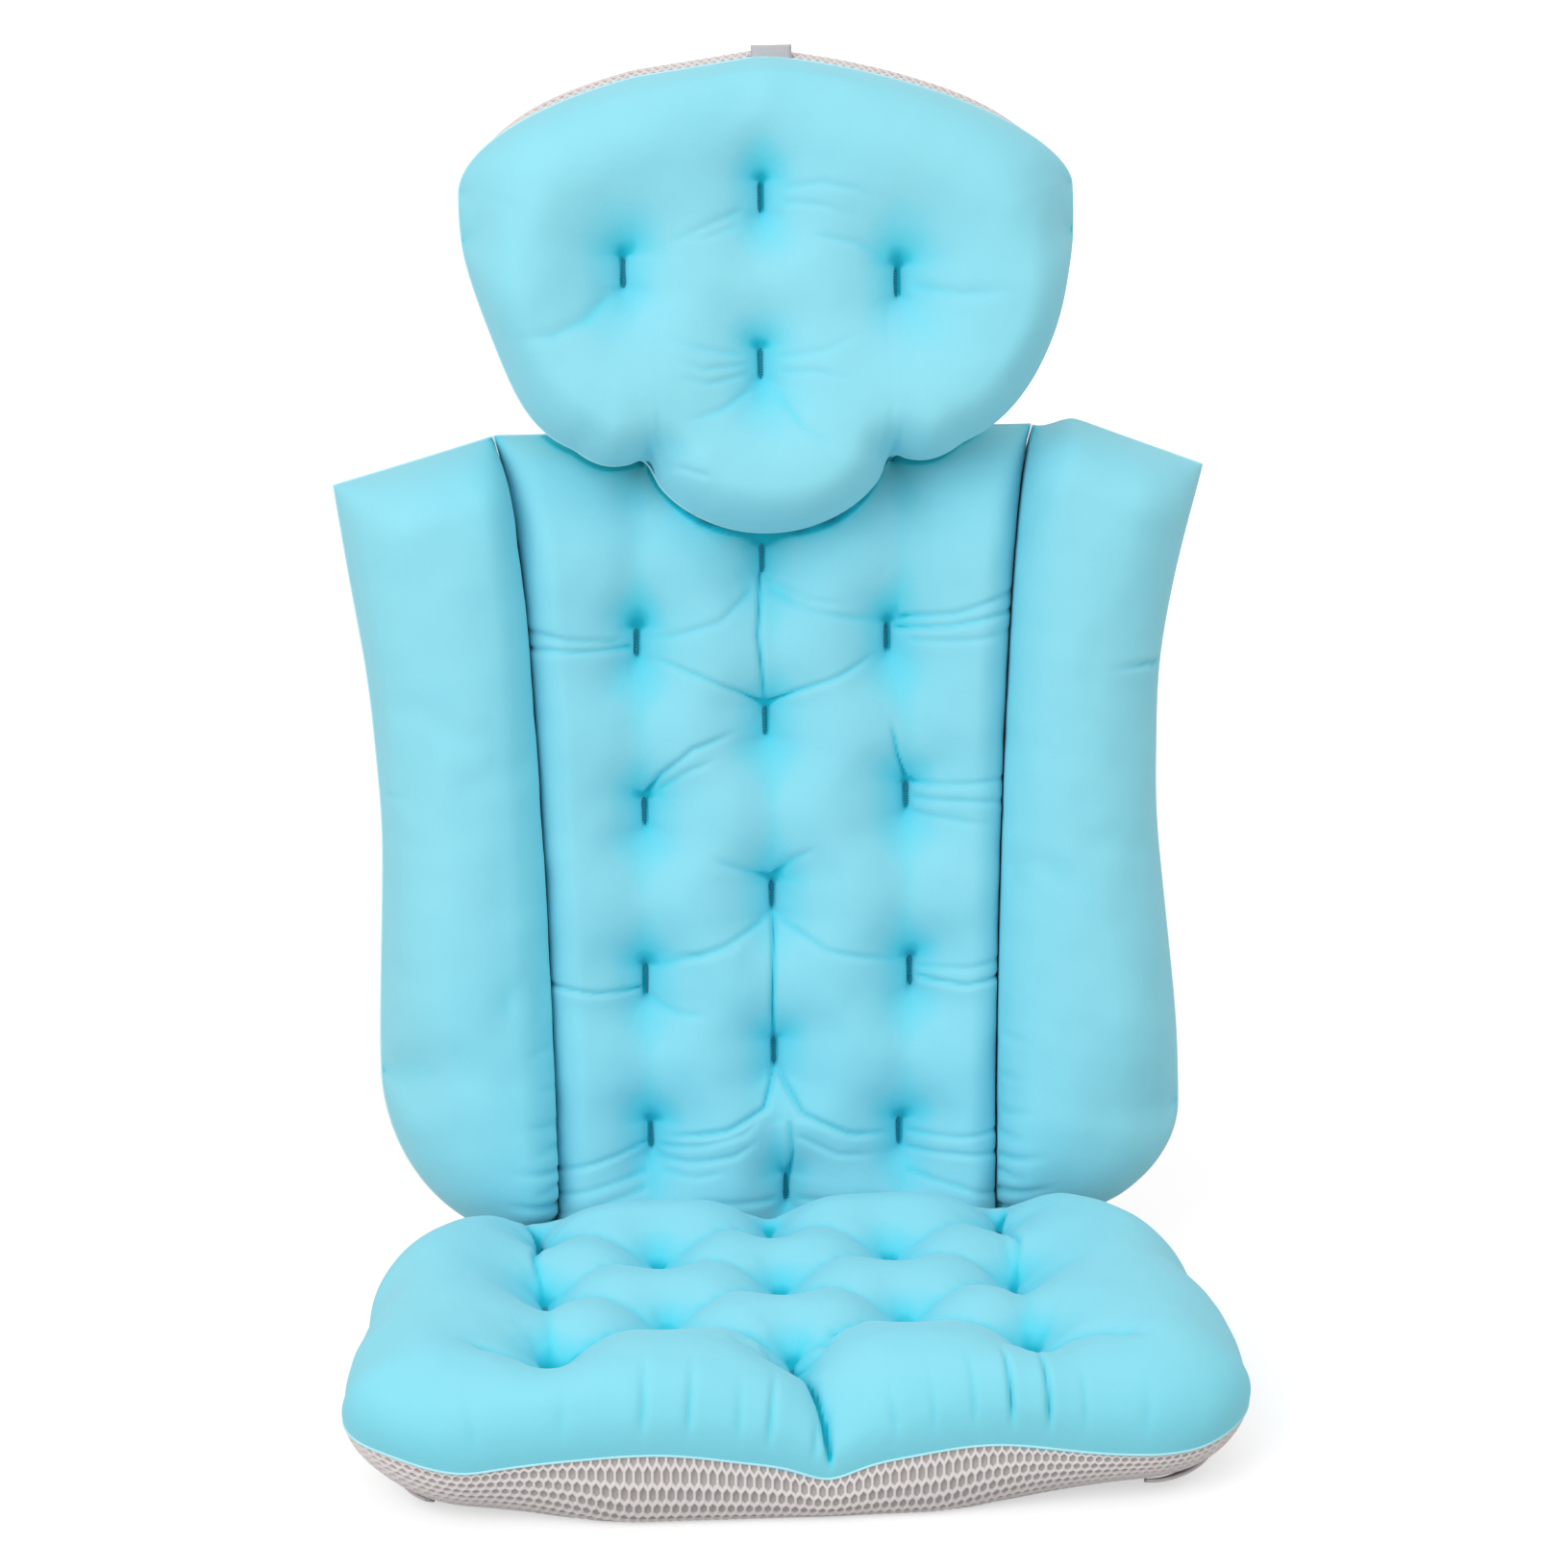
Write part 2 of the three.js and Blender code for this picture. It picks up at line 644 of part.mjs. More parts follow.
function headTab(head) {
  const strip = tape(TOP_TAB_WIDTH, TOP_TAB_RISE, TAPE);
  return strip.translate(0, HEAD_RISE + FIT + TOP_TAB_RISE / 2, head.base + head.seam);
}

// The stitched line that a wing swings on.
function wingSeam() {
  const length = BACK_HEIGHT - WING_FOOT - 12;
  const cord = new THREE.CylinderGeometry(WING_SEAM_RADIUS, WING_SEAM_RADIUS, length, 8);
  return cord.translate(0, WING_FOOT + length / 2, 0);
}

function buildSeat() {
  const seat = layers('seat', { cover: 'top_cover', backing: 'bottom_mesh' }, seatCushion());
  seat.add(named('fold_strip', foldStrip(), SPACER()));
  seat.add(named('seat_left_tab', seatTab(-1), WEBBING()));
  seat.add(named('seat_right_tab', seatTab(1), WEBBING()));
  return seat;
}

function buildWing(side) {
  const word = side < 0 ? 'left' : 'right';
  const swing = layers(`${word}_wing`, { cover: 'cover', backing: 'mesh' }, wingCushion(), side < 0);
  swing.rotation.y = -side * WING_PITCH * RAD;
  const hinge = new THREE.Group();
  hinge.position.set((side * BACK_BOTTOM) / 2, 0, 0);
  hinge.rotation.z = -side * SEAM_LEAN;
  hinge.add(swing, named(`${word}_wing_seam`, wingSeam(), THREAD()));
  return hinge;
}

function buildHead() {
  const cushion = headCushion();
  const head = layers('head', { cover: 'front_cover', backing: 'back_mesh' }, cushion);
  head.add(named('head_top_tab', headTab(cushion), WEBBING()));
  head.add(named('neck_strip', neckStrip(), SPACER()));
  head.position.set(0, BACK_HEIGHT, 0);
  head.rotation.x = -HEAD_TILT * RAD;
  return head;
}

function buildBack() {
  const back = layers('back', { cover: 'front_cover', backing: 'rear_mesh' }, backCushion());
  back.add(buildWing(-1), buildWing(1), buildHead());
  back.position.set(0, FOLD_Y, FOLD_HEIGHT);
  back.rotation.x = Math.PI / 2 - RECLINE * RAD;
  return back;
}

const pillow = new THREE.Group();
pillow.name = 'bath_pillow';
pillow.add(buildSeat(), buildBack());

export default pillow;
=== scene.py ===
"""Dressed model of an infant's bath support pillow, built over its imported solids.

Each cushion is laid out in millimetres in its own frame: u across, v along, w out of its front.
Meshes are in metres in the part's frame, with every object at the origin.
"""

import json
import logging
import math
from dataclasses import dataclass, field
from enum import Enum

import bpy
import numpy as np
from mathutils import Matrix, Vector

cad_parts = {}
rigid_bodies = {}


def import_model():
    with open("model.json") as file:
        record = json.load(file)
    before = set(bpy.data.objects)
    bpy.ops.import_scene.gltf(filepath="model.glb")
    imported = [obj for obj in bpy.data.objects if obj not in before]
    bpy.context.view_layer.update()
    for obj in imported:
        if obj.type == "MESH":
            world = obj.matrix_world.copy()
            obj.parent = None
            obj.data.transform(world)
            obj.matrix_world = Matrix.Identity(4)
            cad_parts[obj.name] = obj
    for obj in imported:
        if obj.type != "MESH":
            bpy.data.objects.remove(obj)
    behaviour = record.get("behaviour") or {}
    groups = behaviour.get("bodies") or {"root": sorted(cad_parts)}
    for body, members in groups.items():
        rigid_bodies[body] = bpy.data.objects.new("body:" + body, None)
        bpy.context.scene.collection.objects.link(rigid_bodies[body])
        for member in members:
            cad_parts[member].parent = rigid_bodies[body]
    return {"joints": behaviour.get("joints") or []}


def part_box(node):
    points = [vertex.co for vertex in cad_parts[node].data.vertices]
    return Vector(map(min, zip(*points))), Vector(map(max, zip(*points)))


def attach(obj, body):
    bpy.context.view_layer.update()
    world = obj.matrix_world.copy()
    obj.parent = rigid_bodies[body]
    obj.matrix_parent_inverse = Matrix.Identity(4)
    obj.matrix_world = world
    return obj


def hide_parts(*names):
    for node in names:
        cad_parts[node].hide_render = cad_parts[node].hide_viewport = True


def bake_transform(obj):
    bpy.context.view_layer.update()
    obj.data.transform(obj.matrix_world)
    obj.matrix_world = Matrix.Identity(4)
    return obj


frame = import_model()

LOG = logging.getLogger("bath_pillow")
MM = 0.001
Array = np.ndarray
Point = tuple[float, float]

# Sizes in millimetres that pieces share
PANEL_HEIGHT = 346.0
SPACER_CELL = (3.4, 4.2)
LIP_RADIUS = 0.55
TACK_LIFT = 0.7
TAPE_HALF_THICKNESS = 0.75
END_GAP = 0.7
SEAM_GAP = 0.35
WALL_REACH = 22.0

# Shares of a spacer cell that its rim leaves open, and of that opening at its floor
CELL_RIDGE = 0.82
CELL_FLOOR = 0.85

# Reach in millimetres and weight of each look at how deep the cloth lies, which sets the painted shade in its
# hollows
SHADE_REACHES = ((2.0, 0.28), (7.0, 0.10), (18.0, 0.095))


class Body(str, Enum):
    """Moving bodies of the pillow."""

    SEAT = "seat"
    BACK = "back"
    LEFT = "left_wing"
    RIGHT = "right_wing"
    HEAD = "head"


class Slot(str, Enum):
    """Material slots of the record."""

    KNIT = "turquoise_knit"
    SPACER = "grey_spacer_mesh"
    TAPE = "grey_tape"
    THREAD = "teal_thread"


class Side(Enum):
    """Left and right of the pillow, as signs of x."""

    LEFT = -1
    RIGHT = 1


# Node trees and finishes


class Bench:
    """Lays out the nodes of one tree."""

    def __init__(self, tree: bpy.types.NodeTree) -> None:
        """Keep the tree that nodes are added to."""
        self.tree = tree

    def add(self, kind: str, inputs: dict | None = None, **settings: object) -> bpy.types.Node:
        """Add a node.

        Args:
            kind: Blender's name for the node's type.
            inputs: socket name or index to a value, or to the socket that feeds it.
            settings: the node's own properties.

        Returns:
            The new node.
        """
        node = self.tree.nodes.new(kind)
        for name, value in settings.items():
            setattr(node, name, value)
        self.feed(node, inputs or {})
        return node

    def feed(self, node: bpy.types.Node, inputs: dict) -> None:
        """Set the inputs of a node.

        Args:
            node: the node.
            inputs: socket name or index to a value, or to the socket that feeds it.
        """
        for key, value in inputs.items():
            socket = node.inputs[key]
            if isinstance(value, bpy.types.NodeSocket):
                self.tree.links.new(value, socket)
            else:
                socket.default_value = value

    def mix(self, factor: bpy.types.NodeSocket, first: object, second: object) -> bpy.types.NodeSocket:
        """Add a mix of two colours, given or fed, and return its result."""
        mixed = self.add("ShaderNodeMix", {"Factor": factor, "A": first, "B": second}, data_type="RGBA")
        return mixed.outputs["Result"]


@dataclass(frozen=True)
class Finish:
    """A procedural cloth finish."""

    name: str
    slot: Slot
    roughness: float

    def material(self) -> bpy.types.Material:
        """Return the finish's material, made on first use.

        Returns:
            The material, shared by every piece of this finish.
        """
        found = bpy.data.materials.get(self.name)
        if found:
            return found
        made = bpy.data.materials.new(self.name)
        made.use_nodes = True
        shader, bench = made.node_tree.nodes["Principled BSDF"], Bench(made.node_tree)
        bench.feed(shader, {"Roughness": self.roughness})
        self.dress(bench, shader)
        return made

    def dress(self, bench: Bench, shader: bpy.types.Node) -> None:
        """Lay the finish's own nodes into its shader."""
        raise NotImplementedError

    def bump(self, bench: Bench, shader: bpy.types.Node, height: bpy.types.NodeSocket, strength: float,
             distance: float) -> None:
        """Feed a height into the shader's normal."""
        node = bench.add("ShaderNodeBump", {"Height": height, "Strength": strength, "Distance": distance})
        bench.feed(shader, {"Normal": node.outputs["Normal"]})


@dataclass(frozen=True)
class Knit(Finish):
    """Soft brushed jersey, with fine wales and a slight bloom."""

    deep: tuple = (0.245, 0.682, 0.805, 1)
    pale: tuple = (0.29, 0.717, 0.83, 1)
    # Painted shade: a colour for the cloth's hollows and a darker one for its deepest creases
    hollow: tuple = (0.01, 0.668, 0.83, 1)
    deep_shade: tuple = (0.001, 0.27, 0.37, 1)
    bloom: tuple = (0.75, 0.95, 1.0, 1)
    # Where the darker painted shade starts, and how much of it the deepest creases take
    deep_shade_start: float = 0.6
    deep_shade_share: float = 0.5
    mottles_per_metre: float = 26.0
    wales_per_metre: float = 1150.0
    relief: float = 0.12

    def dress(self, bench: Bench, shader: bpy.types.Node) -> None:
        """Tint the cloth unevenly, paint shade into its hollows and a darker shade into its deepest creases,
        and raise its wales.

        Args:
            bench: the material's nodes.
            shader: the shader that they feed.
        """
        place = bench.add("ShaderNodeTexCoord").outputs["Object"]
        cloud = bench.add("ShaderNodeTexNoise", {
            "Vector": place, "Scale": self.mottles_per_metre, "Detail": 4.0, "Roughness": 0.6})
        # Painted shade, by how deep each point of the cloth lies, and a darker painted shade where it lies
        # deepest
        shade_amount = bench.add("ShaderNodeAttribute", attribute_name="hollow").outputs["Fac"]
        deepest_shade = bench.add("ShaderNodeMapRange", {
            "Value": shade_amount, "From Min": self.deep_shade_start, "To Max": self.deep_shade_share})
        tint = bench.mix(cloud.outputs["Fac"], self.deep, self.pale)
        tint = bench.mix(shade_amount, tint, self.hollow)
        tint = bench.mix(deepest_shade.outputs["Result"], tint, self.deep_shade)
        loops = bench.add("ShaderNodeTexVoronoi", {"Vector": place, "Scale": self.wales_per_metre})
        fuzz = bench.add("ShaderNodeTexNoise", {
            "Vector": place, "Scale": self.wales_per_metre / 4, "Detail": 5.0})
        height = bench.add("ShaderNodeMath", {0: loops.outputs["Distance"], 1: fuzz.outputs["Fac"]},
                           operation="ADD")
        self.bump(bench, shader, height.outputs["Value"], self.relief, 0.4 * MM)
        bench.feed(shader, {"Base Color": tint, "Sheen Weight": 0.28, "Sheen Roughness": 0.45,
                            "Sheen Tint": self.bloom, "Specular IOR Level": 0.2})


@dataclass(frozen=True)
class Spacer(Finish):
    """Open spacer mesh: pale ridges round cells with painted shade on their floors."""

    ridge: tuple = (0.85, 0.79, 0.775, 1)
    shade: tuple = (0.71, 0.655, 0.645, 1)
    # Painted shade on the cells' floors, seen through the open mesh
    cell: tuple = (0.44, 0.405, 0.395, 1)
    yarns_per_metre: float = 900.0

    def dress(self, bench: Bench, shader: bpy.types.Node) -> None:
        """Colour ridges apart from the cells, whose floors take painted shade, and twist the yarn.

        Args:
            bench: the material's nodes.
            shader: the shader that they feed.
        """
        place = bench.add("ShaderNodeTexCoord").outputs["Object"]
        yarn = bench.add("ShaderNodeTexNoise", {
            "Vector": place, "Scale": self.yarns_per_metre, "Detail": 3.0})
        # Faces that take the painted shade of the cells' floors
        cell_floor_shade = bench.add("ShaderNodeAttribute", attribute_name="cell_floor")
        ridges = bench.mix(yarn.outputs["Fac"], self.shade, self.ridge)
        self.bump(bench, shader, yarn.outputs["Fac"], 0.3, 0.4 * MM)
        tint = bench.mix(cell_floor_shade.outputs["Fac"], ridges, self.cell)
        bench.feed(shader, {"Base Color": tint, "Sheen Weight": 0.15, "Specular IOR Level": 0.25})


@dataclass(frozen=True)
class Tape(Finish):
    """Smooth woven tape with fine ribs."""

    deep: tuple = (0.48, 0.43, 0.445, 1)
    pale: tuple = (0.60, 0.55, 0.565, 1)
    ribs_per_metre: float = 480.0
    mottles_per_metre: float = 300.0

    def dress(self, bench: Bench, shader: bpy.types.Node) -> None:
        """Rib the tape and vary its tint.

        Args:
            bench: the material's nodes.
            shader: the shader that they feed.
        """
        place = bench.add("ShaderNodeTexCoord").outputs["Object"]
        ribs = bench.add("ShaderNodeTexWave", {
            "Vector": place, "Scale": self.ribs_per_metre, "Distortion": 0.6})
        cloud = bench.add("ShaderNodeTexNoise", {
            "Vector": place, "Scale": self.mottles_per_metre, "Detail": 3.0})
        self.bump(bench, shader, ribs.outputs["Fac"], 0.25, 0.2 * MM)
        bench.feed(shader, {"Base Color": bench.mix(cloud.outputs["Fac"], self.deep, self.pale)})


@dataclass(frozen=True)
class Thread(Finish):
    """Tight polyester thread, plied and slightly glossy."""

    # Both tints are the thread's own cyan, a little darker than the cloth, darkened further by painted shade
    # of the slits that the tacks lie in
    deep: tuple = (0.006, 0.19, 0.28, 1)
    pale: tuple = (0.02, 0.33, 0.44, 1)
    plies_per_metre: float = 1400.0

    def dress(self, bench: Bench, shader: bpy.types.Node) -> None:
        """Ply the thread with fine darker turns.

        Args:
            bench: the material's nodes.
            shader: the shader that they feed.
        """
        place = bench.add("ShaderNodeTexCoord").outputs["Object"]
        ply = bench.add("ShaderNodeTexNoise", {"Vector": place, "Scale": self.plies_per_metre, "Detail": 3.0})
        self.bump(bench, shader, ply.outputs["Fac"], 0.3, 0.2 * MM)
        bench.feed(shader, {"Base Color": bench.mix(ply.outputs["Fac"], self.deep, self.pale)})


COVER_KNIT = Knit("turquoise_knit_cloth", Slot.KNIT, 0.85)
LIP_KNIT = Knit("turquoise_knit_edge", Slot.KNIT, 0.8, deep=(0.42, 0.80, 0.87, 1), pale=(0.58, 0.88, 0.92, 1))
SPACER_MESH = Spacer("grey_spacer_cloth", Slot.SPACER, 0.85)
GREY_TAPE = Tape("grey_woven_tape", Slot.TAPE, 0.6)
TACK_THREAD = Thread("teal_tack_thread", Slot.THREAD, 0.55)


class Tree:
    """A geometry tree with named inputs that ends in one material."""

    def __init__(self, name: str, inputs: dict[str, str]) -> None:
        """Open the tree.

        Args:
            name: the tree's name.
            inputs: input name to socket type, after the geometry that every tree takes.
        """
        self.tree = bpy.data.node_groups.new(name, "GeometryNodeTree")
        face = self.tree.interface
        face.new_socket("Geometry", in_out="INPUT", socket_type="NodeSocketGeometry")
        for title, kind in {**inputs, "Material": "NodeSocketMaterial"}.items():
            face.new_socket(title, in_out="INPUT", socket_type=kind)
        face.new_socket("Geometry", in_out="OUTPUT", socket_type="NodeSocketGeometry")
        self.bench = Bench(self.tree)
        self.given = self.bench.add("NodeGroupInput").outputs

    def close(self, geometry: bpy.types.NodeSocket) -> None:
        """End the tree: realise, smooth and give the material.

        Args:
            geometry: what the tree has made.
        """
        solid = self.bench.add("GeometryNodeRealizeInstances", {"Geometry": geometry})
        smooth = self.bench.add("GeometryNodeSetShadeSmooth", {"Geometry": solid.outputs[0]})
        dressed = self.bench.add("GeometryNodeSetMaterial", {"Geometry": smooth.outputs[0],
                                                             "Material": self.given["Material"]})
        self.bench.add("NodeGroupOutput", {"Geometry": dressed.outputs[0]})

    def run(self, piece: bpy.types.Object, values: dict[str, object]) -> bpy.types.Object:
        """Turn a piece into the plain mesh that the tree makes of it.

        Args:
            piece: the object whose mesh feeds the tree.
            values: value of each named input.

        Returns:
            The same object, with the finished mesh and no modifier.
        """
        modifier = piece.modifiers.new(self.tree.name, "NODES")
        modifier.node_group = self.tree
        for item in self.tree.interface.items_tree:
            if item.in_out == "INPUT" and item.name in values:
                modifier[item.identifier] = values[item.name]
        graph = bpy.context.evaluated_depsgraph_get()
        made = bpy.data.meshes.new_from_object(piece.evaluated_get(graph))
        piece.modifiers.remove(modifier)
        piece.data = made
        made.name = piece.name
        return piece


def cell_tree() -> Tree:
    """Return the tree that opens cells in a triangle lattice.

    Returns:
        The tree, with inputs for the cells' rims, floors and depth.
    """
    tree = Tree("open_cells", dict.fromkeys(("Ridge", "Floor", "Depth"), "NodeSocketFloat"))
    bench, given = tree.bench, tree.given
    cells = bench.add("GeometryNodeDualMesh", {"Mesh": given["Geometry"], "Keep Boundaries": True})
    rims = bench.add("GeometryNodeExtrudeMesh", {"Mesh": cells.outputs[0], "Offset Scale": 0.0}, mode="FACES")
    drawn = bench.add("GeometryNodeScaleElements", {
        "Geometry": rims.outputs["Mesh"], "Selection": rims.outputs["Top"], "Scale": given["Ridge"]})
    wells = bench.add("GeometryNodeExtrudeMesh", {
        "Mesh": drawn.outputs[0], "Selection": rims.outputs["Top"], "Offset Scale": given["Depth"]},
        mode="FACES")
    narrowed = bench.add("GeometryNodeScaleElements", {
        "Geometry": wells.outputs["Mesh"], "Selection": wells.outputs["Top"], "Scale": given["Floor"]})
    # Mark the cells' floors, which the spacer finish paints with shade
    marked = bench.add("GeometryNodeStoreNamedAttribute", {
        "Geometry": narrowed.outputs[0], "Name": "cell_floor", "Value": wells.outputs["Top"]},
        data_type="FLOAT", domain="FACE")
    tree.close(marked.outputs[0])
    return tree


def piping_tree() -> Tree:
    """Return the tree that rolls an edge into a thin lip.

    Returns:
        The tree, with an input for the lip's radius.
    """
    tree = Tree("rolled_lip", {"Radius": "NodeSocketFloat"})
    bench, given = tree.bench, tree.given
    path = bench.add("GeometryNodeMeshToCurve", {"Mesh": given["Geometry"]})
    ring = bench.add("GeometryNodeCurvePrimitiveCircle", {"Resolution": 8, "Radius": given["Radius"]})
    tube = bench.add("GeometryNodeCurveToMesh", {"Curve": path.outputs[0], "Profile Curve": ring.outputs[0]})
    tree.close(tube.outputs[0])
    return tree


def tack_tree() -> Tree:
    """Return the tree that lays satin threads across each short line.

    Returns:
        The tree, with inputs for the threads' count, size and slant.
    """
    tree = Tree("satin_threads", {"Threads": "NodeSocketInt", "Width": "NodeSocketFloat",
                                  "Radius": "NodeSocketFloat", "Turn": "NodeSocketFloat"})
    bench, given = tree.bench, tree.given
    path = bench.add("GeometryNodeMeshToCurve", {"Mesh": given["Geometry"]})
    points = bench.add("GeometryNodeResampleCurve", {"Curve": path.outputs[0], "Count": given["Threads"]},
                       mode="COUNT")
    thread = bench.add("GeometryNodeMeshCylinder", {
        "Vertices": 7, "Side Segments": 3, "Radius": given["Radius"], "Depth": given["Width"]})
    up = bench.add("GeometryNodeInputNamedAttribute", {"Name": "lifted"}, data_type="FLOAT_VECTOR")
    tangent = bench.add("GeometryNodeInputTangent")
    across = bench.add("ShaderNodeVectorMath", {0: up.outputs["Attribute"], 1: tangent.outputs[0]},
                       operation="CROSS_PRODUCT")
    slant = bench.add("ShaderNodeVectorMath", {0: tangent.outputs[0], "Scale": given["Turn"]},
                      operation="SCALE")
    lie = bench.add("ShaderNodeVectorMath", {0: across.outputs[0], 1: slant.outputs[0]}, operation="ADD")
    turned = bench.add("FunctionNodeAlignRotationToVector", {"Vector": lie.outputs[0]}, axis="Z")
    laid = bench.add("GeometryNodeInstanceOnPoints", {
        "Points": points.outputs[0], "Instance": thread.outputs[0], "Rotation": turned.outputs[0]})
    tree.close(laid.outputs[0])
    return tree


def stitch_tree() -> Tree:
    """Return the tree that runs short stitches along a line.

    Returns:
        The tree, with inputs for the stitches' pitch and size.
    """
    tree = Tree("running_stitches", dict.fromkeys(("Pitch", "Length", "Radius"), "NodeSocketFloat"))
    bench, given = tree.bench, tree.given
    path = bench.add("GeometryNodeMeshToCurve", {"Mesh": given["Geometry"]})
    points = bench.add("GeometryNodeResampleCurve", {"Curve": path.outputs[0], "Length": given["Pitch"]},
                       mode="LENGTH")
    stitch = bench.add("GeometryNodeMeshUVSphere", {"Segments": 6, "Rings": 5, "Radius": 0.5})
    size = bench.add("ShaderNodeCombineXYZ", {
        "X": given["Radius"], "Y": given["Radius"], "Z": given["Length"]})
    tangent = bench.add("GeometryNodeInputTangent")
    turned = bench.add("FunctionNodeAlignRotationToVector", {"Vector": tangent.outputs[0]}, axis="Z")
    laid = bench.add("GeometryNodeInstanceOnPoints", {
        "Points": points.outputs[0], "Instance": stitch.outputs[0], "Rotation": turned.outputs[0],
        "Scale": size.outputs[0]})
    tree.close(laid.outputs[0])
    return tree


@dataclass
class Trees:
    """The geometry trees that the cushions share."""

    cells: Tree = field(default_factory=cell_tree)
    piping: Tree = field(default_factory=piping_tree)
    tacks: Tree = field(default_factory=tack_tree)
    stitches: Tree = field(default_factory=stitch_tree)

    def open_cells(self, piece: bpy.types.Object, depth: float) -> None:
        """Open spacer cells, as deep as given in millimetres, in the lattice of a piece."""
        self.cells.run(piece, {"Ridge": CELL_RIDGE, "Floor": CELL_FLOOR, "Depth": -depth * MM,
                               "Material": SPACER_MESH.material()})


# Shapes on a plan


def smooth(share: Array) -> Array:
    """Return a smooth step from 0 to 1."""
    held = np.clip(share, 0, 1)
    return held * held * (3 - 2 * held)


def fullness(distance: Array, shoulder: float | Array, lean: float) -> Array:
    """Return how full a cushion is at a distance from its seam.

    Args:
        distance: distances from the seam.
        shoulder: distance at which it is full.
        lean: 0.5 for a round edge, more for a slacker one.

    Returns:
        0 at the seam and 1 past the shoulder.
    """
    share = np.clip(distance / shoulder, 0, 1)
    return (1 - (1 - share) ** 2) ** lean


def distance_to(line: Array, points: Array) -> tuple[Array, Array, Array]:
    """Measure points against an open line.

    Args:
        line: the line's corners, one row each.
        points: points of the plan, in any shape that ends in two.

    Returns:
        Distance to the line, the share of its length where it is nearest, and the height above it there.
    """
    steps = np.diff(line, axis=0)
    lengths = np.maximum(np.hypot(steps[:, 0], steps[:, 1]), 1e-9)
    starts = np.concatenate([[0], np.cumsum(lengths)])
    nearest = np.full(points.shape[:-1], np.inf)
    along = np.zeros(points.shape[:-1])
    above = np.zeros(points.shape[:-1])
    for corner, step, length, start in zip(line, steps, lengths, starts):
        reach = points - corner
        share = np.clip((reach @ step) / length**2, 0, 1)
        gap = np.hypot(reach[..., 0] - share * step[0], reach[..., 1] - share * step[1])
        closer = gap < nearest
        nearest = np.where(closer, gap, nearest)
        along = np.where(closer, (start + share * length) / starts[-1], along)
        above = np.where(closer, reach[..., 1] - share * step[1], above)
    return nearest, along, above


def blur(grid: Array, radius: int) -> Array:
    """Average a grid over a square of cells, repeated once for a soft edge.

    Args:
        grid: values on a grid.
        radius: cells on each side of the middle one.

    Returns:
        The averaged grid.
    """
    for axis in (0, 1, 0, 1):
        rows = np.moveaxis(grid, axis, 0)
        longer = np.concatenate([np.repeat(rows[:1], radius + 1, 0), rows, np.repeat(rows[-1:], radius, 0)])
        total = np.cumsum(longer, axis=0)
        grid = np.moveaxis((total[2 * radius + 1:] - total[:-2 * radius - 1]) / (2 * radius + 1), 0, axis)
    return grid


def even_lines(low: float, high: float, shoulders: Point, rise: float, step: float) -> Array:
    """Space grid lines evenly over a crown that falls at both ends.

    Args:
        low: first line.
        high: last line.
        shoulders: widths of the two falls.
        rise: height of the crown.
        step: spacing along the cloth.

    Returns:
        Positions of the lines from low to high.
    """
    across = np.linspace(low, high, 6001)
    height = rise * fullness(across - low, shoulders[0], 0.5) * fullness(high - across, shoulders[1], 0.5)
    length = np.concatenate([[0], np.cumsum(np.hypot(np.diff(across), np.diff(height)))])
    count = max(6, round(length[-1] / step))
    return np.interp(np.linspace(0, length[-1], count + 1), length, across)


def refine(grid: Array) -> Array:
    """Double the rows and columns of a grid with smooth curves through its points.

    Args:
        grid: points on a grid.

    Returns:
        The finer grid, through the same points.
    """
    for axis in (0, 1):
        rows = np.moveaxis(grid, axis, 0)
        longer = np.concatenate([2 * rows[:1] - rows[1:2], rows, 2 * rows[-1:] - rows[-2:-1]])
        between = (9 * (longer[1:-2] + longer[2:-1]) - longer[:-3] - longer[3:]) / 16
        doubled = np.empty((2 * len(rows) - 1, *rows.shape[1:]))
        doubled[0::2] = rows
        doubled[1::2] = between
        grid = np.moveaxis(doubled, 0, axis)
    return grid


def normals_of(points: Array) -> Array:
    """Return the unit normals of a grid of points, out of its front."""
    normals = np.cross(np.gradient(points, axis=1), np.gradient(points, axis=0))
    return normals / np.maximum(np.linalg.norm(normals, axis=-1, keepdims=True), 1e-12)


def rim_of(grid: Array) -> Array:
    """Return the border of a grid, anticlockwise from its lower left.

    Args:
        grid: values on a grid.

    Returns:
        The border's values, each once.
    """
    south, north = grid[0, :-1], grid[-1, :0:-1]
    east, west = grid[:-1, -1], grid[:0:-1, 0]
    return np.concatenate([south, east, north, west])


class Lobe(Enum):
    """Where the cloth rolls up beside a crease."""

    BOTH = 0
    ABOVE = 1
    BELOW = -1


@dataclass(frozen=True)
class Stroke:
    """A crease drawn on the cloth: a line that sinks, with a soft roll of cloth beside it.

    Attributes:
        points: corners of its line on the plan.
        depth: how far it sinks.
        width: its reach to each side.
        roll: share of the depth by which the cloth beside it rises.
        fades: shares of its length over which it starts and ends.
        lobe: where the cloth rolls up.
        puffed: whether it is steep at its floor.
    """

    points: tuple[Point, ...]
    depth: float
    width: float
    roll: float = 0.45
    fades: Point = (0.08, 0.35)
    lobe: Lobe = Lobe.BOTH
    puffed: bool = False

    def relief(self, plan: Array) -> Array:
        """Return how far the stroke moves each point of the plan out of the cloth, in millimetres.

        Args:
            plan: points of the plan.

        Returns:
            Millimetres at each point, negative where the cloth sinks.
        """
        gap, along, above = distance_to(np.array(self.points, float), plan)
        taper = smooth(along / max(self.fades[0], 1e-6)) * smooth((1 - along) / max(self.fades[1], 1e-6))
        sink = np.exp(-gap / self.width) if self.puffed else np.exp(-((gap / self.width) ** 2))
        far = gap / (2.4 * self.width)
        raised = far * np.exp(1 - far)
        if self.lobe is not Lobe.BOTH:
            raised = raised * (0.2 + 0.8 * smooth(0.5 + self.lobe.value * above / (2 * self.width)))
        return self.depth * taper * (self.roll * raised - sink)


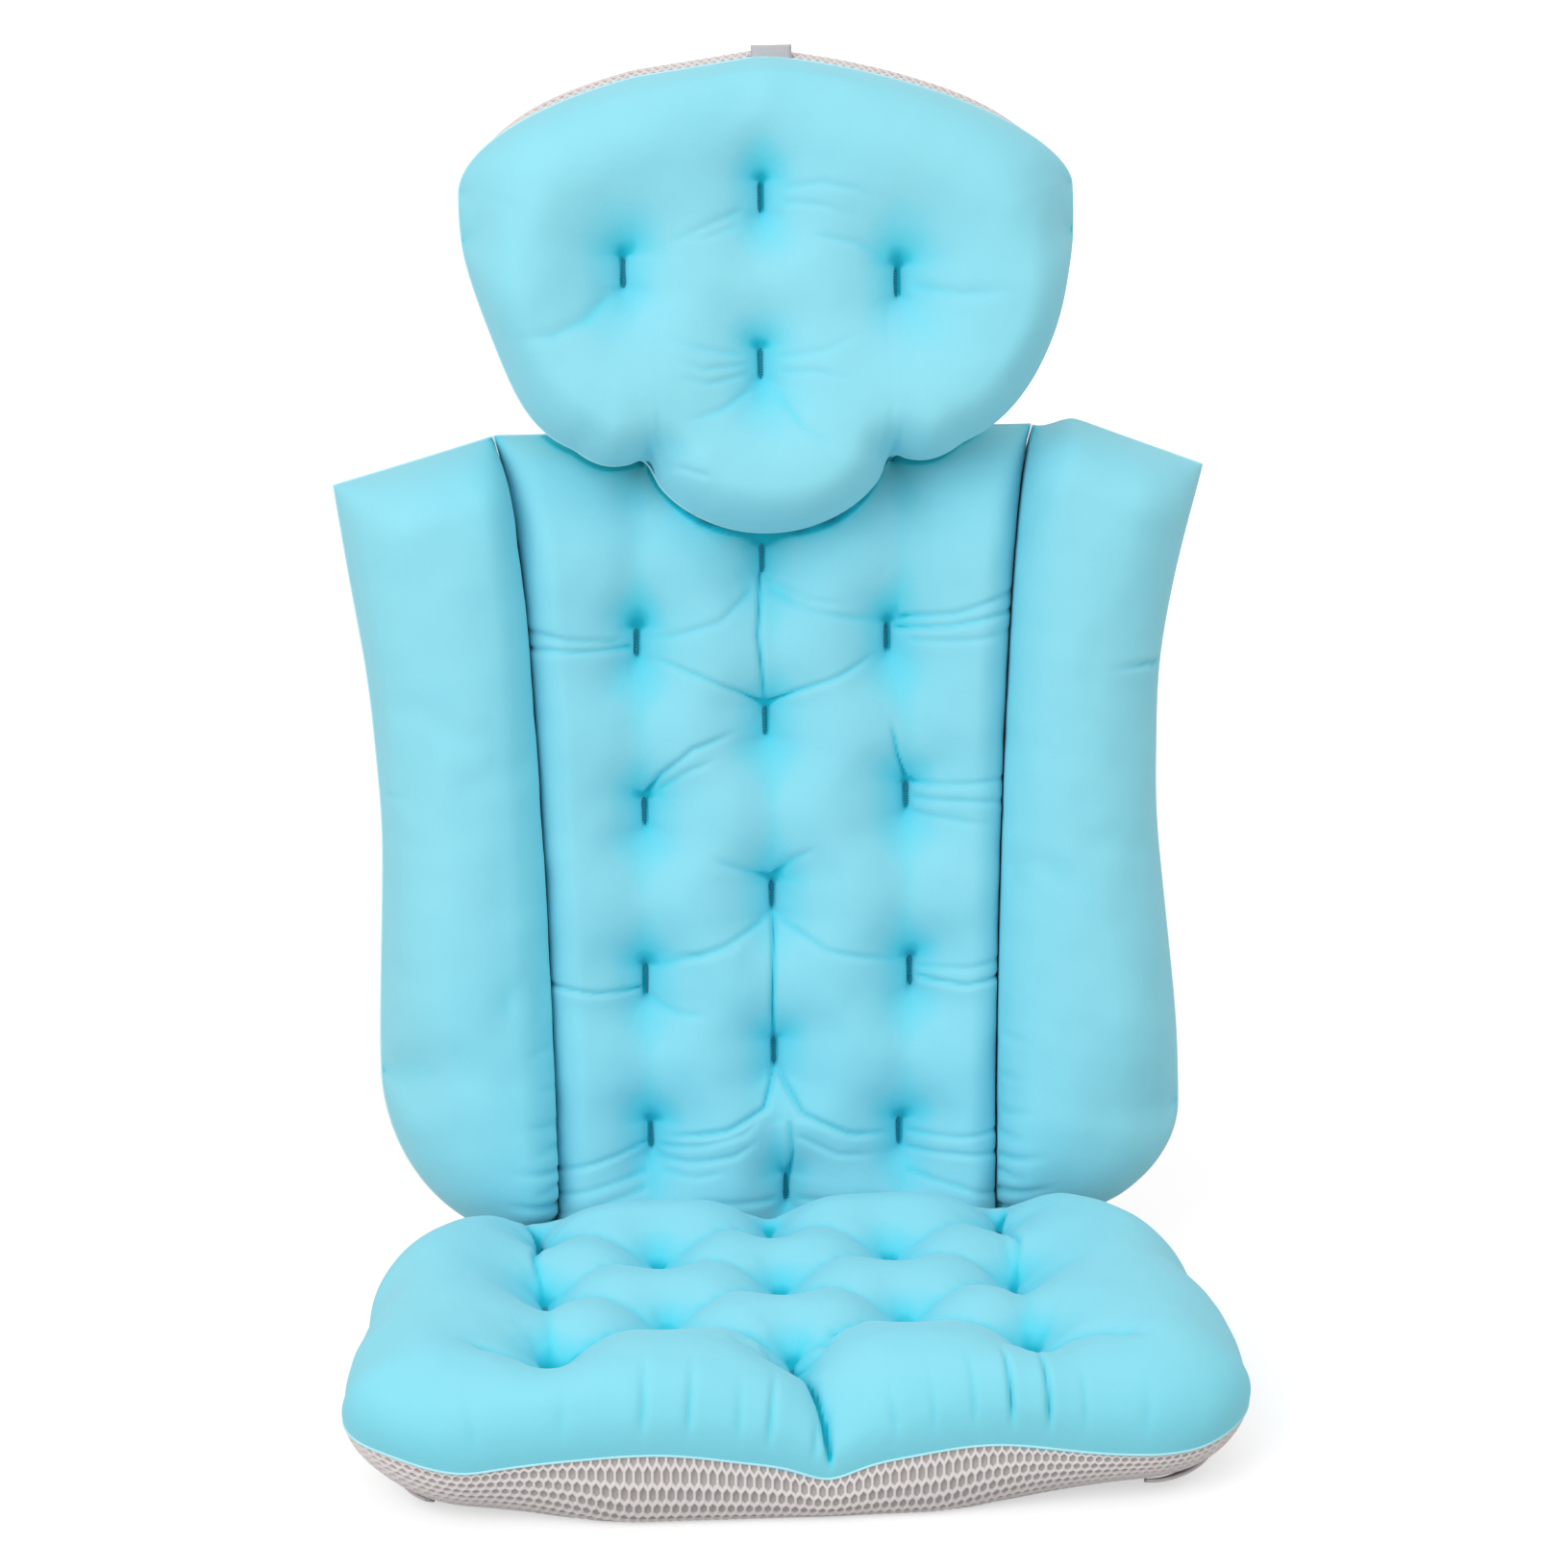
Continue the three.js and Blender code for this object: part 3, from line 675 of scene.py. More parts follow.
@dataclass(frozen=True)
class Place:
    """A cushion's own frame in the part's frame."""

    matrix: Matrix
    mirror: int = 1

    def points(self, local: Array) -> Array:
        """Return local millimetre points as metres in the part's frame.

        Args:
            local: points in the cushion's frame.

        Returns:
            The same points in the part's frame.
        """
        turned = np.array(self.matrix.to_3x3())
        held = local * np.array([self.mirror, 1, 1]) * MM
        return held @ turned.T + np.array(self.matrix.translation)

    def front(self) -> Array:
        """Return the direction out of the cushion's front."""
        return np.array(self.matrix.to_3x3() @ Vector((0, 0, 1)))

    def along(self) -> Array:
        """Return the direction along the cushion."""
        return np.array(self.matrix.to_3x3() @ Vector((0, 1, 0)))


def mesh_piece(name: str, points: Array, faces: list, edges: list | None = None) -> bpy.types.Object:
    """Make an object at the origin.

    Args:
        name: the piece's name.
        points: one row a vertex, in metres.
        faces: vertex numbers of each face.
        edges: vertex numbers of each loose edge.

    Returns:
        The linked object.
    """
    mesh = bpy.data.meshes.new(name)
    mesh.from_pydata(points.reshape(-1, 3).tolist(), edges or [], faces)
    mesh.update()
    made = bpy.data.objects.new(name, mesh)
    bpy.context.scene.collection.objects.link(made)
    return made


def grid_faces(rows: int, columns: int) -> list[list[int]]:
    """Return the four-sided faces of a grid, facing out of its front.

    Args:
        rows: rows of vertices.
        columns: columns of vertices.

    Returns:
        Vertex numbers of each face.
    """
    ids = np.arange(rows * columns).reshape(rows, columns)
    corners = [ids[:-1, :-1], ids[:-1, 1:], ids[1:, 1:], ids[1:, :-1]]
    return np.stack(corners, axis=-1).reshape(-1, 4).tolist()


class Lid(Enum):
    """How a sheet's rim is closed behind."""

    OPEN = "not at all"
    STRIPS = "by one strip across for each row"
    LINING = "by a flat sheet with points of its own, which bends with the front"


def lining(grid: Array) -> Array:
    """Return the inner points of a flat sheet stretched across a grid's rim."""
    share = np.linspace(0, 1, grid.shape[1])[:, None]
    return (grid[:, :1] * (1 - share) + grid[:, -1:] * share)[1:-1, 1:-1]


def sheet_piece(name: str, grid: Array, lid: Lid = Lid.OPEN) -> bpy.types.Object:
    """Make a sheet of cloth.

    Args:
        name: the piece's name.
        grid: the sheet's points, in metres.
        lid: how its rim is closed behind.

    Returns:
        The linked object.
    """
    rows, columns = grid.shape[:2]
    faces, points = grid_faces(rows, columns), grid.reshape(-1, 3)
    ids = np.arange(len(points)).reshape(rows, columns)
    if lid is Lid.STRIPS:
        west, east = ids[:, 0], ids[:, -1]
        faces += np.stack([east[:-1], west[:-1], west[1:], east[1:]], axis=-1).tolist()
        faces += [ids[0, ::-1].tolist(), ids[-1].tolist()]
    elif lid is Lid.LINING:
        inner = lining(grid)
        ids[1:-1, 1:-1] = len(points) + np.arange(inner[..., 0].size).reshape(inner.shape[:2])
        faces += [ids.ravel()[face[::-1]].tolist() for face in faces]
        points = np.concatenate([points, inner.reshape(-1, 3)])
    return mesh_piece(name, points, faces)


def shade_smooth(piece: bpy.types.Object, finish: Finish) -> bpy.types.Object:
    """Smooth a piece and give it its finish.

    Args:
        piece: the piece.
        finish: its finish.

    Returns:
        The same piece.
    """
    piece.data.polygons.foreach_set("use_smooth", [True] * len(piece.data.polygons))
    piece.data.materials.clear()
    piece.data.materials.append(finish.material())
    return piece


def lattice(columns: int, rows: int) -> list[list[int]]:
    """Return the triangles of a lattice whose odd rows stand half a step over, facing backwards.

    Args:
        columns: columns of vertices.
        rows: rows of vertices.

    Returns:
        Vertex numbers of each triangle.
    """
    faces = []
    for row in range(rows - 1):
        for column in range(columns - 1):
            low, high = row * columns + column, (row + 1) * columns + column
            if row % 2 == 0:
                faces += [[low, high, low + 1], [low + 1, high, high + 1]]
            else:
                faces += [[low, high, high + 1], [low, high + 1, low + 1]]
    return faces


# Cushions


@dataclass
class Riders:
    """How a piece follows the bodies: it rides on one of them, or, given two across a joint, stays in the
    part's frame.

    Attributes:
        body: the body that it rides on.
        parent: the body across the joint; a piece that has one is set on neither body.
        start: where a bend would start, in metres; not used.
        end: where a bend would end, in metres; not used.
    """

    body: Body
    parent: Body | None = None
    start: Array | None = None
    end: Array | None = None

    def set(self, piece: bpy.types.Object) -> None:
        """Set a finished piece on its body, or, when it has two, bake its place into its mesh.

        Args:
            piece: the finished piece.
        """
        if self.parent is None:
            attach(piece, self.body.value)
        else:
            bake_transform(piece)


def settle(made: bpy.types.Object, replaced: tuple[str, ...], riders: Riders) -> None:
    """Hide the CAD nodes that a finished piece stands for, hand it to its riders and log its face count.

    Args:
        made: the piece.
        replaced: the CAD nodes that it stands for.
        riders: the bodies that it follows.
    """
    if replaced:
        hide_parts(*replaced)
    riders.set(made)
    LOG.info("%s: %d faces", made.name, len(made.data.polygons))


@dataclass
class Cushion:
    """A stuffed cushion: knit in front, spacer mesh behind, drawn in by bar tacks.

    Attributes:
        title: start of its pieces' names.
        place: its own frame.
        riders: the bodies that it follows.
        seam: height of the seam over the mesh's flat.
        base: level of that flat.
        crown: height of the cloth over the seam.
        round: reach of the mesh's round edge.
        shoulders: width and lean of the cloth's fall to each side.
        nodes: the CAD nodes that its cover, mesh and tufts stand for.
        tufts: places of the bar tacks on the plan.
        tuft_floor: height over the seam at a tack.
        tuft_core: reach of the steep dimple at a tack.
        tuft_skirt: reach of the wide dip round it.
        tuft_spread: share of the pull that the wide dip takes.
        tuft_slit: depth of the pinch along a tack.
        tuft_lit: share of the painted shade that a tuft's lower side loses, as it faces up into the light.
        seam_shade: depths and reaches of the painted shade along a side.
        valleys: strokes that are in the cut of the cloth.
        creases: strokes that are pressed into the swelled cloth.
        fill: how full its padding is; not used.
        cap: furthest that the cloth swells.
        step: spacing of the cloth's points while it swells.
        refines: times that the spacing is halved afterwards.
        cell: width and height of a mesh cell.
        cell_depth: depth of a mesh cell.
        tuft_pinch: how far a tack draws the mesh in.
        pinch_reach: reach of that pull.
        tack_length: length of a bar tack.
        tack_width: width of a bar tack.
        unrest: height of the cloth's unevenness.
        lid: how the cover is closed behind.
        outlines: the four sides, once they are worked out.
    """

    title: str
    place: Place
    riders: Riders
    seam: float
    base: float
    crown: float
    round: float
    shoulders: dict[str, tuple[float, float]]
    nodes: dict[str, tuple[str, ...]]
    tufts: tuple[Point, ...] = ()
    tuft_floor: float = 0.0
    tuft_core: float = 6.0
    tuft_skirt: float = 24.0
    tuft_spread: float = 0.35
    tuft_slit: float = 2.0
    tuft_lit: float = 0.6
    seam_shade: dict[str, tuple[Point, ...]] = field(default_factory=dict)
    valleys: tuple[Stroke, ...] = ()
    creases: tuple[Stroke, ...] = ()
    fill: float = 0.8
    cap: float = 5.0
    step: float = 3.8
    refines: int = 2
    cell: Point = SPACER_CELL
    cell_depth: float = 0.9
    tuft_pinch: float = 4.0
    pinch_reach: float = 11.0
    tack_length: float = 12.0
    tack_width: float = 1.9
    unrest: float = 0.15
    lid: Lid = Lid.STRIPS
    outlines: dict[str, Array] = field(default_factory=dict)

    def outline(self) -> tuple[Array, Array]:
        """Return the grid lines across and along the cushion at the cloth's step."""
        raise NotImplementedError

    def plan(self, across: Array, along: Array) -> Array:
        """Return the plan points of grid lines' crossings."""
        raise NotImplementedError

    def bounds(self) -> tuple[Point, Point]:
        """Return the lowest and highest grid lines across and along."""
        raise NotImplementedError

    def seam_shift(self, plan: Array) -> Array:
        """Return how far the seam rises above its plane."""
        return np.zeros(plan.shape[:-1])

    def overhang(self, plan: Array, height: Array) -> Array:
        """Return how far the cloth hangs out over its seam, across and along."""
        return np.zeros((*plan.shape[:-1], 2))

    def clear(self, local: Array) -> Array:
        """Return local points kept clear of the next cushion."""
        return local

    def mesh_bulge(self, plan: Array, depth: Array) -> Array:
        """Return how far the mesh swells out past its seam, across and along."""
        return np.zeros_like(plan)

    def sides(self) -> dict[str, Array]:
        """Return the outline's four sides as lines of plan points, kept after the first call.

        Returns:
            Name of each side to its line.
        """
        if self.outlines:
            return self.outlines
        (low_u, high_u), (low_v, high_v) = self.bounds()
        closing = (1 - np.cos(np.linspace(0, np.pi, 180))) / 2
        across, along = low_u + (high_u - low_u) * closing, low_v + (high_v - low_v) * closing
        full = np.ones_like(closing)
        self.outlines.update(
            south=self.plan(across, low_v * full), north=self.plan(across, high_v * full),
            west=self.plan(low_u * full, along), east=self.plan(high_u * full, along))
        return self.outlines

    def bars(self) -> list[Array]:
        """Return the plan line of each bar tack."""
        half = self.tack_length / 2
        return [np.array([(u, v - half), (u, v + half)]) for u, v in self.tufts]

    def crown_height(self, plan: Array) -> Array:
        """Return the height of the cloth above the seam, before its creases.

        Args:
            plan: points of the plan.

        Returns:
            Millimetres at each point.
        """
        height = np.full(plan.shape[:-1], self.crown)
        for side, line in self.sides().items():
            height = height * fullness(distance_to(line, plan)[0], *self.shoulders[side])
        share = height / self.crown
        for dip in self.valleys:
            height = height + dip.relief(plan) * share
        stays = np.ones(plan.shape[:-1])
        for bar in self.bars():
            gap = distance_to(bar, plan)[0]
            pull = (1 - self.tuft_spread) * np.exp(-gap / self.tuft_core)
            pull = pull + self.tuft_spread * np.exp(-((gap / self.tuft_skirt) ** 2))
            stays = stays * (1 - pull)
        return height * stays + np.minimum(height, self.tuft_floor) * (1 - stays)

    def cloth_grid(self) -> tuple[Array, Array]:
        """Return the plan and the local points of the front cloth, as cut.

        Returns:
            Plan points and local points, on one grid.
        """
        columns, rows = self.outline()
        across, along = np.meshgrid(columns, rows)
        plan = self.plan(across, along)
        height = self.crown_height(plan)
        height[[0, -1], :] = 0
        height[:, [0, -1]] = 0
        out = plan + self.overhang(plan, height)
        level = self.base + self.seam + self.seam_shift(plan) + height
        return plan, np.concatenate([out, level[..., None]], axis=-1)

    def free_share(self) -> Array:
        """Return how free the cloth is to move: 0 at the seam and 1 well inside it."""
        edge = np.min([distance_to(line, self.flat)[0] for line in self.sides().values()], axis=0)
        return smooth(edge / (2 * self.step))

    def held_points(self, plan: Array) -> list[int]:
        """Return the numbers of the points that the seam and the tufts hold.

        Args:
            plan: points of the plan.

        Returns:
            Vertex numbers.
        """
        rows, columns = plan.shape[:2]
        held = np.zeros((rows, columns), bool)
        held[[0, -1], :] = True
        held[:, [0, -1]] = True
        for bar in self.bars():
            held |= distance_to(bar, plan)[0] < 0.75 * self.step
        return np.flatnonzero(held.ravel()).tolist()

    def lay_out(self) -> None:
        """Cut the front cloth to its first shape."""
        self.flat, self.local = self.cloth_grid()
        self.local = self.clear(self.local)

    def slits(self) -> list[Stroke]:
        """Return the pinch of the cloth along each bar tack.

        Returns:
            A stroke for each tack.
        """
        reach = self.tack_length / 2 + 1.5
        return [Stroke(((u, v - reach), (u, v + reach)), self.tuft_slit, 1.3, 0.3, (0.25, 0.25))
                for u, v in self.tufts]

    def finish_cloth(self) -> None:
        """Refine the swelled cloth and press its creases in."""
        sides = self.sides().values()
        edge = np.min([distance_to(line, self.flat)[0] for line in sides], axis=0)[..., None]
        points, plan = self.local, self.flat
        for _ in range(self.refines):
            points, plan, edge = refine(points), refine(plan), refine(edge)
        relief = self.unrest * self.ripple(plan)
        for crease in (*self.creases, *self.slits()):
            relief = relief + crease.relief(plan)
        points = self.clear(points + normals_of(points) * (relief * smooth(edge[..., 0] / 3.0))[..., None])
        # How much painted shade each point of the cloth takes
        self.hollow = self.painted_shade(points, plan)
        self.cloth, self.cloth_plan = self.place.points(points), plan
        if self.place.mirror < 0:
            self.cloth, self.hollow = self.cloth[:, ::-1], self.hollow[:, ::-1]
            self.cloth_plan = self.cloth_plan[:, ::-1]

    def painted_shade(self, points: Array, plan: Array) -> Array:
        """Return the painted shade at each point, from 0 to 1, by how deep it lies below the cloth round it.

        Args:
            points: local points of the cloth.
            plan: their places on the plan.

        Returns:
            0 on open cloth, 1 in the deepest creases, less on the side of a tuft that faces up into the
            light, more along shaded seams.
        """
        normals = normals_of(points)
        spacing = self.step / 2**self.refines
        total = np.zeros(points.shape[:-1])
        # Painted shade from how far the cloth lies below its own average at each reach
        for reach, weight in SHADE_REACHES:
            cells = max(1, round(reach / spacing))
            shade_amount = np.sum((blur(points, cells) - points) * normals, axis=-1)
            total = total + weight * np.maximum(shade_amount, 0)
        # Lighter painted shade on the lower side of each tuft, which faces up into the light, and close round
        # the tack
        for u, v in self.tufts:
            gap = np.hypot(plan[..., 0] - u, plan[..., 1] - v)
            lit = self.tuft_lit * smooth((v - 2 - plan[..., 1]) / 6) * np.exp(-((gap / 20) ** 2))
            total = total * (1 - lit)
            total = total * (1 - 0.35 * np.exp(-((gap / 10) ** 2)))
        # Painted shade along the given seams
        for side, shades in self.seam_shade.items():
            gap = distance_to(self.sides()[side][::6], plan)[0]
            total = total + sum(deep * np.exp(-gap / reach) for deep, reach in shades)
        return np.clip(total, 0, 1)

    def ripple(self, plan: Array) -> Array:
        """Return a faint fixed unevenness over the cloth, about -1 to 1.

        Args:
            plan: points of the plan.

        Returns:
            The unevenness at each point.
        """
        seeded = np.random.default_rng(len(self.title) * 7 + 3)
        total = np.zeros(plan.shape[:-1])
        for _ in range(14):
            length, turn, phase = seeded.uniform(14, 46), seeded.uniform(0, math.pi), seeded.uniform(0, 6.28)
            wave = (plan[..., 0] * math.cos(turn) + plan[..., 1] * math.sin(turn)) * 6.2832 / length
            total = total + np.sin(wave + phase)
        return total / 4

    def build_cover(self) -> None:
        """Make the front cover with its filling."""
        made = sheet_piece(f"{self.title}_knit_cover", self.cloth, self.lid)
        # Store the painted shade on the cover's points, where its finish reads it
        shade_amount = made.data.attributes.new("hollow", "FLOAT", "POINT")
        values = np.zeros(len(made.data.vertices))
        values[:self.hollow.size] = self.hollow.ravel()
        shade_amount.data.foreach_set("value", values)
        shade_smooth(made, COVER_KNIT)
        settle(made, self.nodes["cover"], self.riders)

    def build_lip(self, trees: Trees) -> None:
        """Make the thin rolled lip where knit and mesh are sewn.

        Args:
            trees: the shared trees.
        """
        ring = rim_of(self.cloth)
        edges = [[k, (k + 1) % len(ring)] for k in range(len(ring))]
        made = mesh_piece(f"{self.title}_seam_lip", ring, [], edges)
        trees.piping.run(made, {"Radius": LIP_RADIUS * MM, "Material": LIP_KNIT.material()})
        settle(made, (), self.riders)

    def mesh_depth(self, plan: Array) -> Array:
        """Return how deep the mesh lies behind its seam, from 0 at the seam to 1 at the flat.

        Args:
            plan: points of the plan.

        Returns:
            The share at each point.
        """
        depth = np.ones(plan.shape[:-1])
        for line in self.sides().values():
            depth = depth * fullness(distance_to(line, plan)[0], self.round, 0.5)
        return depth

    def build_mesh(self, trees: Trees) -> None:
        """Make the spacer mesh that closes the back.

        Args:
            trees: the shared trees.
        """
        (low_u, high_u), (low_v, high_v) = self.bounds()
        scale_u, scale_v = self.scales()
        rounds = (self.round / scale_u, self.round / scale_u), (self.round / scale_v, self.round / scale_v)
        fine_u = even_lines(low_u, high_u, rounds[0], self.seam / scale_u, self.cell[0] / scale_u)
        fine_v = even_lines(low_v, high_v, rounds[1], self.seam / scale_v, self.cell[1] / scale_v)
        columns, rows = len(fine_u), len(fine_v)
        shifts = np.arange(columns)[None, :] + 0.5 * (np.arange(rows)[:, None] % 2)
        across = np.interp(shifts.ravel(), np.arange(columns), fine_u).reshape(rows, columns)
        plan = self.plan(across, np.repeat(fine_v[:, None], columns, axis=1))
        depth = self.mesh_depth(plan)
        depth[[0, -1], :] = 0
        depth[:, [0, -1]] = 0
        level = self.base + (self.seam + self.seam_shift(plan)) * (1 - depth)
        for u, v in self.tufts:
            gap = np.hypot(plan[..., 0] - u, plan[..., 1] - v)
            level = level + self.tuft_pinch * depth * np.exp(-((gap / self.pinch_reach) ** 2))
        local = np.concatenate([plan + self.mesh_bulge(plan, depth), level[..., None]], axis=-1)
        faces = lattice(columns, rows)
        if self.place.mirror < 0:
            faces = [face[::-1] for face in faces]
        made = mesh_piece(f"{self.title}_spacer_mesh", self.place.points(local), faces)
        trees.open_cells(made, self.cell_depth)
        settle(made, self.nodes["mesh"], self.riders)

    def scales(self) -> Point:
        """Return the millimetres to one unit of the grid lines across and along."""
        return 1.0, 1.0

    def build_tacks(self, trees: Trees) -> None:
        """Make the bar tacks that draw the cushion in.

        Args:
            trees: the shared trees.
        """
        if not self.tufts:
            return
        front, along = self.place.front(), self.place.along()
        ends = []
        for tuft in self.tufts:
            gap = np.hypot(*np.moveaxis(self.cloth_plan - np.array(tuft), -1, 0))
            centre = self.cloth.reshape(-1, 3)[gap.argmin()] + front * TACK_LIFT * MM
            ends += [centre - along * self.tack_length / 2 * MM, centre + along * self.tack_length / 2 * MM]
        edges = [[2 * k, 2 * k + 1] for k in range(len(self.tufts))]
        made = mesh_piece(f"{self.title}_bar_tacks", np.array(ends), [], edges)
        lifted = made.data.attributes.new("lifted", "FLOAT_VECTOR", "POINT")
        lifted.data.foreach_set("vector", np.tile(front, len(ends)))
        trees.tacks.run(made, {"Threads": 13, "Width": self.tack_width * MM, "Radius": 0.5 * MM, "Turn": 0.3,
                               "Material": TACK_THREAD.material()})
        settle(made, self.nodes["tufts"], self.riders)

    def build(self, trees: Trees) -> None:
        """Make every piece of the swelled cushion.

        Args:
            trees: the shared trees.
        """
        self.finish_cloth()
        self.build_cover()
        self.build_lip(trees)
        self.build_mesh(trees)
        self.build_tacks(trees)


def numbered(prefix: str, count: int) -> tuple[str, ...]:
    """Return the names of a cushion's tuft nodes."""
    return tuple(f"{prefix}_tuft_{k:02d}" for k in range(1, count + 1))


def corner_drop(share: Array) -> Array:
    """Return how far a quarter-round corner has drawn back at a share of the way across it."""
    return 1 - np.sqrt(1 - np.clip(share, 0, 1) ** 2)


def valley(points: tuple[Point, ...], depth: float, width: float = 8.0, fade: float = 0.01) -> Stroke:
    """Return a valley between two lobes, steep at its floor and without a roll."""
    return Stroke(points, depth, width, 0.0, (0.01, fade), puffed=True)


@dataclass
class Seat(Cushion):
    """The tufted seat, flat underneath.

    Attributes:
        half: half its width and half its depth.
        corner: radius of the front corners.
        rear_corner: radius of the rear corners.
        taper: how far the left and right sides draw in towards the rear.
        nose: how far they stand out at the front.
    """

    half: Point = (171.0, 88.0)
    corner: float = 46.0
    rear_corner: float = 76.0
    taper: Point = (8.0, 21.0)
    nose: Point = (7.0, -2.5)

    def bounds(self) -> tuple[Point, Point]:
        """Return the lowest and highest grid lines across and along."""
        return (-self.half[0], self.half[0]), (-self.half[1], self.half[1])

    def outline(self) -> tuple[Array, Array]:
        """Return the grid lines across and along the seat at the cloth's step.

        Returns:
            Lines across and lines along.
        """
        across = even_lines(-self.half[0], self.half[0], (30, 30), self.crown, self.step)
        along = even_lines(-self.half[1], self.half[1], (26, 24), self.crown, self.step)
        return across, along

    def plan(self, across: Array, along: Array) -> Array:
        """Return the plan points of grid lines' crossings, with rounded corners.

        Args:
            across: grid lines across.
            along: grid lines along.

        Returns:
            Plan points in millimetres.
        """
        reach = []
        for corner in (self.corner, self.rear_corner):
            drop = corner_drop((np.abs(across) - (self.half[0] - corner)) / corner)
            reach.append(self.half[1] - corner * 0.93 * drop)
        v = along * np.where(along < 0, reach[0], reach[1]) / self.half[1]
        back = np.maximum(0, v + self.half[1] - self.corner) / (2 * self.half[1] - self.corner)
        taper = np.where(across < 0, self.taper[0], self.taper[1])
        nose = np.where(across < 0, self.nose[0], self.nose[1]) * smooth((10 - v) / 80)
        u = across + np.sign(across) * (nose - taper * back**0.8) * (across / self.half[0]) ** 2
        return np.stack([u, v], axis=-1)

    def seam_shift(self, plan: Array) -> Array:
        """Return the wave of the front seam: low in the middle and at the corners, high under each lobe.

        Args:
            plan: points of the plan.

        Returns:
            Millimetres above the seam's plane.
        """
        u = plan[..., 0]
        wave = 7.0 * np.exp(-(((np.abs(u - 3) - 62) / 36) ** 2)) - 5.0 * np.exp(-(((u - 4) / 13) ** 2))
        wave = wave + 7.0 * smooth((-u - 126) / 40) + 2.5 * smooth((u - 140) / 30)
        wave = wave + 4.5 * np.exp(-(((u + 106) / 34) ** 2))
        front = distance_to(self.sides()["south"], plan)[0]
        return wave * np.exp(-((front / 22) ** 2))

    def overhang(self, plan: Array, height: Array) -> Array:
        """Return how far the sides swell out over the seam.

        Args:
            plan: points of the plan.
            height: heights of the cloth above the seam.

        Returns:
            Millimetres across and along at each point.
        """
        swell = 4.0 * np.sin(np.pi * np.clip(height / self.crown, 0, 1))
        edge = np.stack([plan[..., 0] / self.half[0], plan[..., 1] / self.half[1]], axis=-1)
        push = np.sign(edge) * smooth((np.abs(edge) - 0.55) / 0.45)
        return push * swell[..., None]

    def mesh_bulge(self, plan: Array, depth: Array) -> Array:
        """Return how far the mesh swells forward under the two front lobes.

        Args:
            plan: points of the plan.
            depth: how deep the mesh lies there, from 0 to 1.

        Returns:
            Millimetres across and along at each point.
        """
        push = -3.0 * np.sin(np.pi * depth) * smooth(-plan[..., 1] / 40)
        push = push * smooth((130 - np.abs(plan[..., 0])) / 60)
        return np.stack([np.zeros_like(push), push], axis=-1)

    def mesh_depth(self, plan: Array) -> Array:
        """Return how deep the mesh lies, rounder under the sides than at the front and the rear.

        Args:
            plan: points of the plan.

        Returns:
            The share at each point.
        """
        depth = np.ones(plan.shape[:-1])
        ends = 7 + 45 * smooth((np.abs(plan[..., 0] + 12) - 52) / 104)
        for side, line in self.sides().items():
            bend = 50.0 if side in ("west", "east") else ends
            depth = depth * fullness(distance_to(line, plan)[0], bend, 0.5)
        return depth


WALL_LEAN = math.tan(math.radians(3))


def seam_flare(along: Array, height: float) -> Array:
    """Return how far a wing seam bows from its straight hinge line, outward, at a height up the panel."""
    share = np.clip(along / height, 0, 1)
    return -1 - 3.6 * np.sin(np.pi * share) ** 0.8 + 5.75 * share**14


